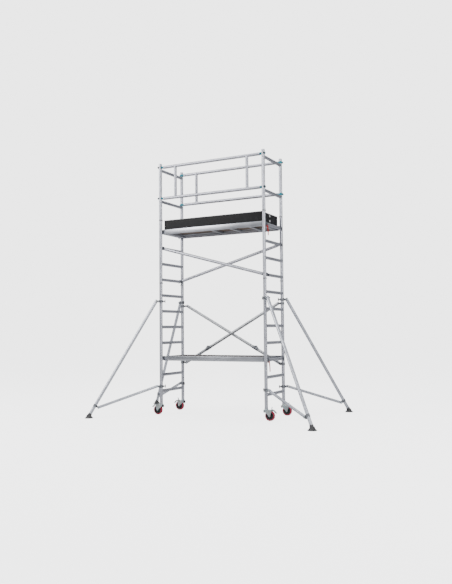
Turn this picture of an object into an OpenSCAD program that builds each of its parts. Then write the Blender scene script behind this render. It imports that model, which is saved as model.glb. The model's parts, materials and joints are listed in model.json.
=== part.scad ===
// Mobile tower scaffold on four braked casters, with two platforms, a folding rear brace,
// four swing-out stabilisers, claw-on guardrails and a folding set of toe boards.
// Millimetres. +X runs along the platforms, +Y to the rear, +Z up.
// The origin is on the floor at the middle of the tower.

/* [Tower] */
// Distance between the post axes along the platforms
bay_length = 1800; // [1500:10:2400]
// Distance between the post axes across the tower
bay_width = 650; // [620:10:1000]
// Height of the first rung's axis above the floor
first_rung_z = 370; // [330:5:450]
// Distance from one rung axis to the next
rung_pitch = 250; // [240:5:300]
// Post above the last rung, up to the joint
post_tail = 150; // [120:5:180]
// Post above the top bar of the guard frame, up to its cap
guard_tail = 95; // [80:5:150]

/* [Tubes] */
// Outside diameter of the posts
post_d = 50.8; // [42:0.1:61]
// Wall of the posts
post_wall = 2.4; // [2:0.1:4]
// Outside diameter of the rungs
rung_d = 48; // [40:0.5:50]
// Wall of the rungs
rung_wall = 2; // [1.5:0.1:3]
// Outside diameter of guardrails and diagonals
rail_d = 48; // [40:0.5:50]
// Wall of guardrails and diagonals
rail_wall = 2; // [1.5:0.1:3]
// Outside diameter of the guardrail uprights
upright_d = 45; // [37:0.5:47]
// Outside diameter of the folding brace tubes
brace_d = 48; // [40:0.5:50]
// Wall of the folding brace tubes
brace_wall = 2; // [1.5:0.1:3]

/* [Joints] */
// Length of a spigot on each side of its joint
spigot_reach = 120; // [80:5:160]
// Radial play of a spigot or a caster stem in its post
spigot_play = 0.2; // [0.1:0.05:0.5]
// Height of an interlock clip's collar
clip_h = 22; // [15:1:30]
// Wall of an interlock clip's collar
clip_wall = 4; // [3:0.5:6]
// Diameter of the interlock pin
clip_pin_d = 10; // [8:0.5:12]
// Middle of the clip above the joint
clip_rise = 42; // [30:1:60]

/* [Casters] */
// Diameter of the wheel over its tread
wheel_d = 150; // [120:5:180]
// Width of the tread
tread_w = 40; // [32:1:48]
// Thickness of the tread
tread_t = 17; // [12:1:22]
// Width of the hub
hub_w = 48; // [42:1:56]
// Diameter of the axle
axle_d = 12; // [10:0.5:14]
// Distance of the axle behind the swivel axis
trail = 58; // [50:1:68]
// Thickness of the fork plates
fork_t = 4; // [3:0.5:6]
// Gap over the wheel, under the crown plate
crown_gap = 3; // [2:0.5:6]
// Height of the swivel bearing
race_h = 12; // [10:1:16]
// Diameter of the swivel bearing
race_d = 56; // [50:1:70]
// Flange of the stem under the post
flange_t = 4; // [3:0.5:6]
// Diameter of the kingpin
kingpin_d = 12; // [10:0.5:16]
// Reach of the stem into the post
stem_reach = 120; // [80:5:150]
// Diameter of the brake pedal's pin
pedal_pin_d = 8; // [6:0.5:10]
// Width of the brake pedal
pedal_w = 36; // [28:1:40]

/* [Stabilisers] */
// Reach of a foot from its post, measured on the floor
stab_reach = 1120; // [1000:10:1400]
// Height of the upper coupler
stab_top_z = 1775; // [1770:5:1790]
// Height of the lower coupler
stab_low_z = 440; // [435:5:500]
// Height of the arm's clamp on the leg
stab_clamp_z = 185; // [160:5:260]
// Outside diameter of the leg
leg_d = 48; // [40:0.5:54]
// Outside diameter of the arm
arm_d = 42; // [36:0.5:50]
// Wall of leg and arm
stab_wall = 2; // [1.5:0.1:3]
// Direction of the front left and rear right stabilisers, from the X axis
stab_wide_angle = 46; // [30:1:60]
// Direction of the front right and rear left stabilisers, from the X axis
stab_slim_angle = 34; // [30:1:60]
// Height of a coupler ring
coupler_h = 42; // [35:1:50]
// Wall of a coupler ring
coupler_wall = 6; // [4:0.5:8]
// Span of a clamp screw's wing handle
wing_h = 56; // [44:1:60]
// Diameter of the foot where it stands
foot_d = 130; // [110:5:160]
// Height of the foot's cone
foot_h = 54; // [48:1:70]

/* [Folding brace] */
// Height of the lower brace collars
brace_low_z = 785; // [770:5:790]
// Height of the upper brace collars
brace_high_z = 1716; // [1700:2:1720]
// Distance of a brace pivot from its post axis
brace_inset = 70; // [60:1:90]
// Distance of each knee hinge from the middle of the brace
knee_reach = 467; // [440:1:480]

/* [Platforms] */
// Rung that carries the lower platform
lower_rung = 3; // [3:1:3]
// Rung that carries the upper platform
upper_rung = 11; // [11:1:11]
// Gap between a platform and the posts beside it
side_gap = 4.6; // [3:0.1:20]
// Distance from the rung axis to the end of a platform's beams
end_gap = 50; // [45:1:70]
// Width of the side beams
beam_w = 28; // [24:1:36]
// Beam below the rung axis
beam_below = 30; // [26:1:40]
// Beam above the rung axis
beam_above = 45; // [40:1:55]
// Thickness of the deck board
deck_t = 12; // [9:1:15]
// Step from the top of the beams down to the deck
deck_drop = 3; // [1:0.5:6]
// Height of the bars under the deck
bar_h = 30; // [20:1:36]
// Width of the bars under the deck
bar_w = 40; // [30:1:50]
// Distance between the bars under the lower deck
lower_bar_step = 360; // [300:5:380]
// Distance between the bars under the upper deck, from the hatch on
upper_bar_step = 330; // [270:5:400]
// Length of the hatch
hatch_l = 640; // [560:10:700]
// Width of the hatch
hatch_w = 420; // [380:10:440]
// Distance of the hatch from the end of its platform
hatch_end = 80; // [70:5:100]
// Gap round the hatch's door
hatch_gap = 5; // [3:0.5:8]

/* [Guards] */
// Height of a toe board
toe_h = 150; // [120:5:180]
// Thickness of a toe board
toe_t = 15; // [12:1:20]
// Height of a guardrail above the bar that carries it
rail_rise = 45; // [44:1:50]
// Distance of a guardrail from the plane of its posts, towards the platform
rail_inset = 12; // [8:1:20]
// Distance of the front guardrail's uprights from the post axes
front_upright_inset = 273; // [200:1:330]
// Distance of the rear guardrail's uprights from the post axes
rear_upright_inset = 294; // [200:1:350]
// Width of a claw
claw_w = 34; // [28:1:40]
// Wall of a claw round its post or rung
claw_wall = 8; // [6:0.5:10]
// Diameter of the boss between a claw and its tube
claw_boss_d = 40; // [34:0.5:46]
// Length of that boss
claw_boss_l = 22; // [15:1:40]
// Length of the plug that fastens a claw in its tube
claw_plug_l = 60; // [50:1:90]
// Length of a wind lock's handle
wind_lock_l = 150; // [120:5:180]

/* [Fits] */
// Radial play where one piece turns on another
running_play = 0.08; // [0.05:0.01:0.1]
// Gap where one piece is welded, bonded or clamped to another
seat_gap = 0.05; // [0.02:0.01:0.1]
// Gap between flat faces that move past each other
face_gap = 0.3; // [0.2:0.1:0.5]

/* [Hidden] */
$fn = 48;

// Corners of the tower: side along X, side along Y, direction of the stabiliser
FRONT_LEFT = [-1, -1, 180 + stab_wide_angle];
FRONT_RIGHT = [1, -1, -stab_slim_angle];
REAR_LEFT = [-1, 1, 180 - stab_slim_angle];
REAR_RIGHT = [1, 1, stab_wide_angle];
CORNERS = [FRONT_LEFT, FRONT_RIGHT, REAR_LEFT, REAR_RIGHT];

// Rungs in each frame: base, extension, and the two bars of the guard frame
base_rungs = 7;
extension_rungs = 4;
knee_rail_rung = 13;
top_rail_rung = 15;
function rung_z(n) = first_rung_z + (n - 1) * rung_pitch;
low_joint_z = rung_z(base_rungs) + post_tail;
high_joint_z = rung_z(base_rungs + extension_rungs) + post_tail;
top_z = rung_z(top_rail_rung) + guard_tail;
diagonal_high_rung = base_rungs + 3;
diagonal_low_rung = base_rungs + 1;

post_r = post_d / 2;
post_bore_r = post_r - post_wall;
rung_r = rung_d / 2;
rail_r = rail_d / 2;
post_x = bay_length / 2;
post_y = bay_width / 2;
inner_y = post_y - post_r;

// Caster heights, from the floor up
wheel_r = wheel_d / 2;
crown_z = wheel_d + crown_gap;
race_z = crown_z + fork_t + 1;
flange_z = race_z + race_h;
post_bottom_z = flange_z + flange_t;
fork_inner = hub_w / 2 + 1;
fork_outer = fork_inner + fork_t;
fork_back = race_d / 2 + 4;
rim_r = wheel_r - tread_t;
hub_r = axle_d / 2 + 10;
web_t = 12;
pedal_boss_r = pedal_pin_d / 2 + 5;
pedal_x = trail + 26;
pedal_z = wheel_r + sqrt(pow(wheel_r + pedal_boss_r + 1, 2) - pow(pedal_x - trail, 2));

// Stabiliser triangle, in the plane of its leg
pivot_r = post_r + coupler_wall + 44;
leg_end_z = 32;
leg_run = stab_reach - pivot_r;
leg_tilt = atan(leg_run / (stab_top_z - leg_end_z));
leg_len = (stab_top_z - leg_end_z) / cos(leg_tilt);
clamp_on_leg = (stab_top_z - stab_clamp_z) / cos(leg_tilt);
clamp_x = pivot_r + clamp_on_leg * sin(leg_tilt);
ear_reach = leg_d / 2 + 34;
arm_end_x = clamp_x - ear_reach * cos(leg_tilt);
arm_end_z = stab_clamp_z - ear_reach * sin(leg_tilt);
arm_drop = atan((stab_low_z - arm_end_z) / (arm_end_x - pivot_r));
arm_len = (arm_end_x - pivot_r) / cos(arm_drop);
bolt_d = 12;
eye_reach = 20;
cheek_t = 6;

// Folding brace, in the rear plane
brace_r = brace_d / 2;
brace_x = post_x - brace_inset;
brace_rise = brace_high_z - brace_low_z;
brace_mid_z = (brace_high_z + brace_low_z) / 2;
brace_angle = atan(brace_rise / (2 * brace_x));
brace_half = sqrt(pow(brace_x, 2) + pow(brace_rise / 2, 2));
brace_lug_t = 4;
brace_near_y = inner_y - side_gap + 8 + brace_r;
brace_lug_y = brace_near_y + brace_r + 0.5;
brace_far_y = brace_lug_y + brace_lug_t + 0.5 + brace_r;
brace_pin_d = 10;
knee_rise = brace_r + 14;

// Platforms, guards and claws
platform_y = inner_y - side_gap;
platform_x = post_x - end_gap;
beam_y = platform_y - beam_w / 2;
deck_y = platform_y - beam_w - seat_gap;
deck_x = platform_x - bar_w - seat_gap;
deck_top = beam_above - deck_drop;
bar_top = deck_top - deck_t - seat_gap;
lip = 8;
hatch_x0 = -platform_x + hatch_end;
hatch_x1 = hatch_x0 + hatch_l;
hatch_y1 = hatch_w / 2;
hinge_barrel_r = 6;
toe_z = rung_z(upper_rung) + beam_above + seat_gap;
rail_y = post_y - rail_inset;
post_claw_r = post_r + claw_wall;
rung_claw_r = rung_r + claw_wall;
trigger_t = 6;
diagonal_y = inner_y - rail_r - 9;
hook_r = rung_r + 12;
// Pivot of a wind lock, beside the front right hook of its platform
wind_pin_r = 4;
wind_lock_t = 8;
wind_lock_x = post_x + rung_r + 6.5;
wind_lock_y = -beam_y + beam_w / 2 - 1 + wind_lock_t / 2 + 1;
wind_lock_drop = beam_below - 10;
diagonal_angle = atan(2 * rung_pitch / bay_length);

// Runs its children at one corner's post, on the floor
module at_post(corner) {
    translate([corner[0] * post_x, corner[1] * post_y, 0])
        children();
}

// Tube or bar between two points
module bar_between(a, b, r, wall = 0) {
    d = b - a;
    len = norm(d);
    translate(a)
        rotate([0, acos(d[2] / len), atan2(d[1], d[0])])
            difference() {
                cylinder(h = len, r = r);
                if (wall > 0)
                    translate([0, 0, -1])
                        cylinder(h = len + 2, r = r - wall);
            }
}

// Box from one corner to the other
module box(a, b) {
    translate(a)
        cube(b - a);
}

// Round bar along Y, centred
module y_pin(r, len) {
    rotate([90, 0, 0])
        cylinder(h = len, r = r, center = true);
}

// Extrudes an XZ outline along Y, centred
module y_plate(t) {
    rotate([90, 0, 0])
        linear_extrude(height = t, center = true)
            children();
}

// ---- Casters: swivel axis at the origin, wheel trailing towards +X ----

module place_caster(corner) {
    at_post(corner)
        rotate([0, 0, corner[0] > 0 ? 0 : 180])
            children();
}

module caster_stem() {
    translate([0, 0, post_bottom_z])
        cylinder(h = stem_reach, r = post_bore_r - spigot_play);
    translate([0, 0, flange_z])
        cylinder(h = flange_t, r = post_r + 3);
    translate([0, 0, crown_z - 6])
        cylinder(h = flange_z - crown_z + 7, d = kingpin_d);
    translate([0, 0, crown_z - 8])
        cylinder(h = 8 - face_gap, r = kingpin_d / 2 + 4, $fn = 6);
}

module fork_outline() {
    polygon([
        [-fork_back, crown_z + fork_t + 1],
        [pedal_x + pedal_boss_r, crown_z + fork_t + 1],
        [pedal_x + pedal_boss_r, pedal_z - pedal_boss_r],
        [trail + hub_r, wheel_r],
        [trail - hub_r, wheel_r],
        [-fork_back, crown_z - 14]
    ]);
    translate([trail, wheel_r])
        circle(r = hub_r);
    translate([pedal_x, pedal_z])
        circle(r = pedal_boss_r + 2);
}

module caster_fork() {
    difference() {
        union() {
            for (side = [-1, 1])
                translate([0, side * (fork_inner + fork_t / 2), 0])
                    y_plate(fork_t)
                        fork_outline();
            translate([-fork_back, -fork_inner - 0.5, crown_z])
                cube([pedal_x - pedal_boss_r - 3 + fork_back, 2 * fork_inner + 1, fork_t + 1]);
            translate([0, 0, race_z - 0.5])
                cylinder(h = race_h + 0.5 - face_gap, r = race_d / 2);
        }
        translate([0, 0, crown_z - 1])
            cylinder(h = race_h + 20, r = kingpin_d / 2 + running_play);
        translate([trail, 0, wheel_r])
            y_pin(axle_d / 2 + seat_gap, 2 * fork_outer + 2);
        translate([pedal_x, 0, pedal_z])
            y_pin(pedal_pin_d / 2 + seat_gap, 2 * fork_outer + 2);
    }
    // axle bolt with its head and nut
    translate([trail, 0, wheel_r]) {
        y_pin(axle_d / 2, 2 * fork_outer + 16);
        for (side = [-1, 1])
            translate([0, side * (fork_outer + seat_gap + 4), 0])
                rotate([90, 0, 0])
                    cylinder(h = 8, r = axle_d / 2 + 4.5, center = true, $fn = 6);
    }
    // pedal pin with its riveted heads
    translate([pedal_x, 0, pedal_z]) {
        y_pin(pedal_pin_d / 2, 2 * fork_outer + 6);
        for (side = [-1, 1])
            translate([0, side * (fork_outer + seat_gap + 1.5), 0])
                y_pin(pedal_pin_d / 2 + 2, 3);
    }
    // swivel lock cam under the back of the crown plate
    translate([-fork_back + 2, 0, crown_z - seat_gap - 20])
        cube([32, 24, 40], center = true);
}

module caster_tread() {
    shoulder = 5;
    translate([trail, 0, wheel_r])
        rotate([90, 0, 0])
            rotate_extrude($fn = 72)
                polygon([
                    [rim_r + seat_gap, -tread_w / 2],
                    [wheel_r - shoulder, -tread_w / 2],
                    [wheel_r - shoulder * 0.3, -tread_w / 2 + shoulder * 0.4],
                    [wheel_r, -tread_w / 2 + shoulder],
                    [wheel_r, tread_w / 2 - shoulder],
                    [wheel_r - shoulder * 0.3, tread_w / 2 - shoulder * 0.4],
                    [wheel_r - shoulder, tread_w / 2],
                    [rim_r + seat_gap, tread_w / 2]
                ]);
}

module caster_core() {
    rim_w = tread_w - 4;
    rim_in = rim_r - 8;
    bore = axle_d / 2 + running_play;
    translate([trail, 0, wheel_r])
        rotate([90, 0, 0])
            rotate_extrude($fn = 72)
                polygon([
                    [bore, -hub_w / 2], [hub_r, -hub_w / 2], [hub_r + 2, -web_t / 2],
                    [rim_in - 2, -web_t / 2], [rim_in, -rim_w / 2], [rim_r, -rim_w / 2],
                    [rim_r, rim_w / 2], [rim_in, rim_w / 2], [rim_in - 2, web_t / 2],
                    [hub_r + 2, web_t / 2], [hub_r, hub_w / 2], [bore, hub_w / 2]
                ]);
}

module pedal_outline() {
    translate([pedal_x, pedal_z])
        circle(r = pedal_boss_r);
    polygon([
        [pedal_x, pedal_z + pedal_boss_r],
        [pedal_x, pedal_z - pedal_boss_r + 2],
        [pedal_x + 30, pedal_z - 6],
        [pedal_x + 72, pedal_z - 46],
        [pedal_x + 79, pedal_z - 40],
        [pedal_x + 36, pedal_z + 3]
    ]);
}

module brake_pedal() {
    difference() {
        union() {
            y_plate(pedal_w)
                pedal_outline();
            translate([pedal_x, 0, pedal_z])
                rotate([0, 8, 0])
                    translate([-4, -9, 0])
                        cube([8, 18, 44]);
        }
        translate([pedal_x, 0, pedal_z])
            y_pin(pedal_pin_d / 2 + running_play, pedal_w + 2);
    }
}

module caster_stems() {
    color("silver")
        for (corner = CORNERS)
            place_caster(corner)
                caster_stem();
}

module fork_at(corner) {
    color("lightslategray")
        place_caster(corner)
            caster_fork();
}

module tread_at(corner) {
    color("crimson")
        place_caster(corner)
            caster_tread();
}

module core_at(corner) {
    color([0.08, 0.08, 0.09])
        place_caster(corner)
            caster_core();
}

module pedal_at(corner) {
    color([0.15, 0.15, 0.16])
        place_caster(corner)
            brake_pedal();
}

// ---- Stabilisers: post axis at the origin, leg reaching towards +X ----

module place_stabiliser(corner) {
    at_post(corner)
        rotate([0, 0, corner[2]])
            children();
}

// Tube that hangs from a bolt at (x, z), with the bolt's hole through its end
module bolted_tube(x, z, slope, from, to, d, holes) {
    translate([x, 0, z])
        rotate([0, slope, 0])
            difference() {
                translate([0, 0, from])
                    cylinder(h = to - from, d = d);
                translate([0, 0, from - 1])
                    cylinder(h = to - from + 2, d = d - 2 * stab_wall);
                for (h = holes)
                    translate([0, 0, h])
                        y_pin(bolt_d / 2 + seat_gap, d + 2);
            }
}

module stabiliser_leg() {
    bolted_tube(pivot_r, stab_top_z, 180 - leg_tilt, -eye_reach, leg_len, leg_d, [0]);
}

module stabiliser_arm() {
    bolted_tube(pivot_r, stab_low_z, 90 + arm_drop, -eye_reach, arm_len + 14, arm_d,
        [0, arm_len]);
}

// Two cheeks that hold a bolt at distance out, round a tube of diameter d
module cheeks(out, from, d, h) {
    for (side = [-1, 1])
        translate([0, side * (d / 2 + face_gap + cheek_t / 2), 0])
            difference() {
                y_plate(cheek_t)
                    union() {
                        translate([from, -h / 2])
                            square([out - from, h]);
                        translate([out, 0])
                            circle(d = h);
                    }
                translate([out, 0, 0])
                    y_pin(bolt_d / 2 + seat_gap, cheek_t + 2);
            }
}

module pivot_bolt(out, d) {
    half = d / 2 + face_gap + cheek_t;
    translate([out, 0, 0]) {
        y_pin(bolt_d / 2, 2 * half + 16);
        for (side = [-1, 1])
            translate([0, side * (half + seat_gap + 4), 0])
                rotate([90, 0, 0])
                    cylinder(h = 8, r = bolt_d / 2 + 4, center = true, $fn = 6);
    }
}

// Coupler ring on the post, with cheeks outwards and a clamp screw inwards
module post_coupler(d) {
    ring_r = post_r + coupler_wall;
    width = 2 * (d / 2 + face_gap + cheek_t);
    difference() {
        union() {
            cylinder(h = coupler_h, r = ring_r, center = true);
            translate([0, -width / 2, -16])
                cube([ring_r + 6, width, 32]);
            cheeks(pivot_r, ring_r, d, 32);
            translate([-ring_r - 16, 0, 0])
                rotate([0, 90, 0])
                    cylinder(h = 20, r = 13);
        }
        cylinder(h = coupler_h + 2, r = post_r + running_play, center = true);
        translate([-ring_r - 18, 0, 0])
            rotate([0, 90, 0])
                cylinder(h = ring_r + 10, r = 5 + seat_gap);
    }
    pivot_bolt(pivot_r, d);
    // clamp screw with its wing handle
    translate([-ring_r - 40, 0, 0]) {
        rotate([0, 90, 0])
            cylinder(h = 40 + coupler_wall - running_play - seat_gap, r = 5);
        rotate([0, 90, 0])
            cylinder(h = 18, r = 11);
        translate([3, -3, -wing_h / 2])
            cube([10, 6, wing_h]);
    }
}

// Clamp on the leg that takes the arm's end
module leg_clamp() {
    ring_r = leg_d / 2 + coupler_wall;
    width = 2 * (arm_d / 2 + face_gap + cheek_t);
    translate([clamp_x, 0, stab_clamp_z])
        rotate([0, 180 - leg_tilt, 0]) {
            difference() {
                union() {
                    cylinder(h = 40, r = ring_r, center = true);
                    translate([0, -width / 2, -14])
                        cube([ring_r + 3, width, 28]);
                    cheeks(ear_reach, ring_r, arm_d, 28);
                }
                cylinder(h = 42, r = leg_d / 2 + seat_gap, center = true);
            }
            pivot_bolt(ear_reach, arm_d);
        }
}

module stabiliser_couplers() {
    translate([0, 0, stab_top_z])
        post_coupler(leg_d);
    translate([0, 0, stab_low_z])
        post_coupler(arm_d);
    leg_clamp();
}

module stabiliser_foot() {
    socket_r = leg_d / 2 + 5;
    difference() {
        union() {
            translate([stab_reach, 0, 0])
                cylinder(h = 8, d = foot_d);
            translate([stab_reach, 0, 8])
                cylinder(h = foot_h - 8, r1 = foot_d / 2, r2 = socket_r);
            translate([pivot_r, 0, stab_top_z])
                rotate([0, 180 - leg_tilt, 0])
                    translate([0, 0, leg_len - 44])
                        cylinder(h = 44, r = socket_r);
        }
        translate([pivot_r, 0, stab_top_z])
            rotate([0, 180 - leg_tilt, 0])
                cylinder(h = leg_len + seat_gap, r = leg_d / 2 + seat_gap);
    }
}

module leg_at(corner) {
    color("silver")
        place_stabiliser(corner)
            stabiliser_leg();
}

module arm_at(corner) {
    color("silver")
        place_stabiliser(corner)
            stabiliser_arm();
}

module couplers_at(corner) {
    color("gray")
        place_stabiliser(corner)
            stabiliser_couplers();
}

module foot_at(corner) {
    color([0.12, 0.12, 0.13])
        place_stabiliser(corner)
            stabiliser_foot();
}

// ---- End frames ----

// One post of a frame, with its interlock hole above the lower end where it has a spigot
module frame_post(y, z0, z1, pinned) {
    translate([0, y, 0])
        difference() {
            translate([0, 0, z0])
                cylinder(h = z1 - z0, r = post_r);
            translate([0, 0, z0 - 1])
                cylinder(h = z1 - z0 + 2, r = post_bore_r);
            if (pinned)
                translate([0, 0, z0 + clip_rise])
                    y_pin(clip_pin_d / 2 + seat_gap, post_d + 2);
        }
}

// One rung, coped to the posts at its ends
module frame_rung(z) {
    translate([0, 0, z])
        difference() {
            y_pin(rung_r, 2 * post_y);
            y_pin(rung_r - rung_wall, 2 * post_y + 2);
            for (side = [-1, 1])
                translate([0, side * post_y, 0])
                    cylinder(h = rung_d + 2, r = post_r + seat_gap, center = true);
        }
}

module end_frame(side, z0, z1, rungs, pinned) {
    color("lightsteelblue")
        translate([side * post_x, 0, 0]) {
            for (y = [-post_y, post_y])
                frame_post(y, z0, z1, pinned);
            for (n = rungs)
                frame_rung(rung_z(n));
        }
}

module base_frame(side) {
    end_frame(side, post_bottom_z, low_joint_z, [1:base_rungs], false);
}

module extension_frame(side) {
    first = base_rungs + 1;
    end_frame(side, low_joint_z, high_joint_z, [first:first + extension_rungs - 1], true);
}

module guard_frame(side) {
    end_frame(side, high_joint_z, top_z, [knee_rail_rung, top_rail_rung], true);
    color("lightsteelblue")
        for (sy = [-1, 1])
            translate([side * post_x, sy * post_y, top_z])
                post_cap();
}

// Domed cap plugged into the top of a post
module post_cap() {
    plug_r = post_bore_r - spigot_play;
    rotate_extrude()
        polygon([
            [0, -20], [plug_r, -20], [plug_r, seat_gap], [post_r - 0.5, seat_gap],
            [post_r - 0.5, 4], [post_r - 4, 9], [post_r - 12, 13], [0, 15]
        ]);
}

module spigots() {
    color("gray")
        for (corner = CORNERS, z = [low_joint_z, high_joint_z])
            at_post(corner)
                difference() {
                    translate([0, 0, z - spigot_reach])
                        cylinder(h = 2 * spigot_reach, r = post_bore_r - spigot_play);
                    translate([0, 0, z - spigot_reach - 1])
                        cylinder(h = 2 * spigot_reach + 2, r = post_bore_r - spigot_play - 3);
                    translate([0, 0, z + clip_rise])
                        y_pin(clip_pin_d / 2 + seat_gap, post_d);
                }
}

module interlock_clips() {
    color([0.2, 0.2, 0.22])
        for (corner = CORNERS, z = [low_joint_z, high_joint_z])
            at_post(corner)
                translate([0, 0, z + clip_rise]) {
                    difference() {
                        cylinder(h = clip_h, r = post_r + clip_wall, center = true);
                        cylinder(h = clip_h + 2, r = post_r + seat_gap, center = true);
                        y_pin(clip_pin_d / 2 + seat_gap, post_d + 20);
                        translate([-20, -corner[1] * 40 - 20, -clip_h])
                            cube([40, 40, 2 * clip_h]);
                    }
                    translate([0, corner[1] * 3, 0])
                        y_pin(clip_pin_d / 2, post_d);
                    translate([0, corner[1] * (post_r + clip_wall + 4), 0])
                        y_pin(clip_pin_d / 2 + 4, 8);
                }
}

// ---- Folding brace on the rear posts ----

// Runs its children at each brace pivot, with the tube's side of the lug: -1 near, 1 far
module brace_corners() {
    for (sx = [-1, 1], sz = [-1, 1])
        translate([sx * brace_x, 0, sz > 0 ? brace_high_z : brace_low_z])
            if (sx * sz > 0)
                brace_corner(sx, -1);
            else
                brace_corner(sx, 1);
}

// Collar on the post, its lug, and the pin that the brace tube hangs on
module brace_corner(sx, side) {
    tube_y = side < 0 ? brace_near_y : brace_far_y;
    lug_mid = brace_lug_y + brace_lug_t / 2;
    pin_out = tube_y + side * (brace_r + face_gap + 3);
    pin_in = lug_mid - side * (brace_lug_t / 2 + 4);
    difference() {
        union() {
            translate([sx * brace_inset, post_y, 0])
                cylinder(h = 40, r = post_r + 6, center = true);
            translate([0, lug_mid, 0])
                y_plate(brace_lug_t)
                    union() {
                        circle(r = 15);
                        translate([sx > 0 ? 0 : -brace_inset, -15])
                            square([brace_inset, 30]);
                    }
        }
        translate([sx * brace_inset, post_y, 0])
            cylinder(h = 42, r = post_r + seat_gap, center = true);
        y_pin(brace_pin_d / 2 + seat_gap, 2 * bay_width);
    }
    translate([0, (pin_out + pin_in) / 2, 0])
        y_pin(brace_pin_d / 2, abs(pin_out - pin_in));
    translate([0, pin_out - side * 1.5, 0])
        y_pin(brace_pin_d / 2 + 3, 3);
}

module brace_collars() {
    color("gray")
        brace_corners();
}

// Frame of one diagonal: X runs along the tube from the middle, rising to its upper end
module along_diagonal(side) {
    translate([0, side < 0 ? brace_near_y : brace_far_y, brace_mid_z])
        rotate([0, side < 0 ? -brace_angle : brace_angle - 180, 0])
            children();
}

module brace_tube(from, to, holes) {
    difference() {
        translate([from, 0, 0])
            rotate([0, 90, 0])
                cylinder(h = to - from, r = brace_r);
        translate([from - 1, 0, 0])
            rotate([0, 90, 0])
                cylinder(h = to - from + 2, r = brace_r - brace_wall);
        for (x = holes)
            translate([x, 0, 0])
                y_pin(brace_pin_d / 2 + seat_gap, brace_d + 2);
    }
}

module brace_main_arms() {
    color("darkgray")
        for (side = [-1, 1])
            along_diagonal(side)
                brace_tube(-knee_reach + 0.5, brace_half + 14, [0, brace_half]);
}

module brace_lower_arms() {
    color("darkgray")
        for (side = [-1, 1])
            along_diagonal(side)
                brace_tube(-brace_half - 14, -knee_reach - 0.5, [-brace_half]);
}

// Sleeve of a knee hinge on one tube's end, with its lugs at the given offsets
module knee_sleeve(dir, up, lug_ys, lug_t) {
    difference() {
        union() {
            translate([dir * 26 - 25, 0, 0])
                rotate([0, 90, 0])
                    cylinder(h = 50, r = brace_r + 3);
            for (y = lug_ys)
                translate([0, y, 0])
                    y_plate(lug_t)
                        union() {
                            translate([0, up * knee_rise])
                                circle(r = 9);
                            polygon([
                                [0, up * (knee_rise + 9)], [dir * 44, up * (brace_r + 1)],
                                [dir * 44, up * brace_r], [dir * 1, up * brace_r],
                                [dir * 1, up * knee_rise]
                            ]);
                        }
        }
        translate([dir * 26 - 26, 0, 0])
            rotate([0, 90, 0])
                cylinder(h = 52, r = brace_r + seat_gap);
        translate([0, 0, up * knee_rise])
            y_pin(4 + seat_gap, brace_d);
    }
}

module brace_hinges() {
    color("gray") {
        for (side = [-1, 1])
            along_diagonal(side)
                translate([-knee_reach, 0, 0]) {
                    knee_sleeve(1, -side, [0], 8);
                    knee_sleeve(-1, -side, [-8, 8], 6);
                    translate([0, 0, -side * knee_rise])
                        y_pin(4, 30);
                }
        // bolt and spacer where the two diagonals cross
        translate([0, (brace_near_y + brace_far_y) / 2, brace_mid_z]) {
            y_pin(brace_pin_d / 2, brace_far_y - brace_near_y + brace_d + 12);
            for (side = [-1, 1])
                translate([0, side * ((brace_far_y - brace_near_y) / 2 + brace_r + 3.5), 0])
                    y_pin(brace_pin_d / 2 + 5, 5);
            difference() {
                y_pin(14, brace_lug_t);
                y_pin(brace_pin_d / 2 + seat_gap, brace_lug_t + 2);
            }
        }
    }
}

// ---- Claws, guardrails and diagonals ----

// Boss and plug that carry a tube along +X, from a claw of radius r, sloping by tilt
module claw_boss(r, tilt) {
    rotate([0, 90 + tilt, 0]) {
        translate([0, 0, r - 4])
            cylinder(h = claw_boss_l + 4, d = claw_boss_d);
        translate([0, 0, r + claw_boss_l - 2])
            cylinder(h = claw_plug_l + 2, r = rail_r - rail_wall - seat_gap);
    }
}

// Claw at the origin round a post along Z, its mouth away from the platform
module post_claw(inward) {
    difference() {
        union() {
            cylinder(h = claw_w, r = post_claw_r, center = true);
            translate([0, inward * rail_inset, 0])
                claw_boss(post_claw_r, 0);
        }
        cylinder(h = claw_w + 2, r = post_r + seat_gap, center = true);
        translate([0, -inward * post_claw_r, 0])
            cube([post_d + 0.8, 2 * post_claw_r, claw_w + 2], center = true);
    }
}

// Spring trigger that closes a post claw's mouth, round the side away from the rail
module post_trigger(inward) {
    reach = post_r + 1 + trigger_t;
    back = post_claw_r + seat_gap;
    y0 = inward > 0 ? -reach : -8;
    y1 = inward > 0 ? 8 : reach;
    translate([0, 0, -9]) {
        box([-back - trigger_t, y0, 0], [-back, y1, 18]);
        translate([-back - trigger_t, -inward * (reach - trigger_t / 2) - trigger_t / 2, 0])
            cube([back, trigger_t, 18]);
    }
}

// Claw at the origin over a rung along Y, its tube sloping by tilt towards +X
module rung_claw(tilt) {
    difference() {
        union() {
            y_plate(claw_w)
                union() {
                    circle(r = rung_claw_r);
                    translate([-rung_claw_r, -rung_claw_r + 4])
                        square([2 * rung_claw_r, rung_claw_r - 4]);
                }
            claw_boss(rung_claw_r, tilt);
        }
        y_pin(rung_r + seat_gap, claw_w + 20);
        translate([-rung_r - 0.4, -claw_w, -rung_claw_r * 2])
            cube([rung_d + 0.8, 2 * claw_w, rung_claw_r * 2]);
    }
}

// Spring trigger on a rung claw's outer side
module rung_trigger() {
    translate([-rung_claw_r - 4 - seat_gap, 0, -4])
        cube([8, 16, 34], center = true);
}

module rail_claws() {
    color("teal")
        for (sx = [-1, 1], sy = [-1, 1], n = [knee_rail_rung, top_rail_rung])
            at_rail_end(sx, sy, n)
                post_claw(sx * sy);
}

// Runs its children on a post, at the height of a guardrail, with the rail towards +X
module at_rail_end(sx, sy, n) {
    translate([sx * post_x, sy * post_y, rung_z(n) + rail_rise])
        rotate([0, 0, sx > 0 ? 180 : 0])
            children();
}

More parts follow.
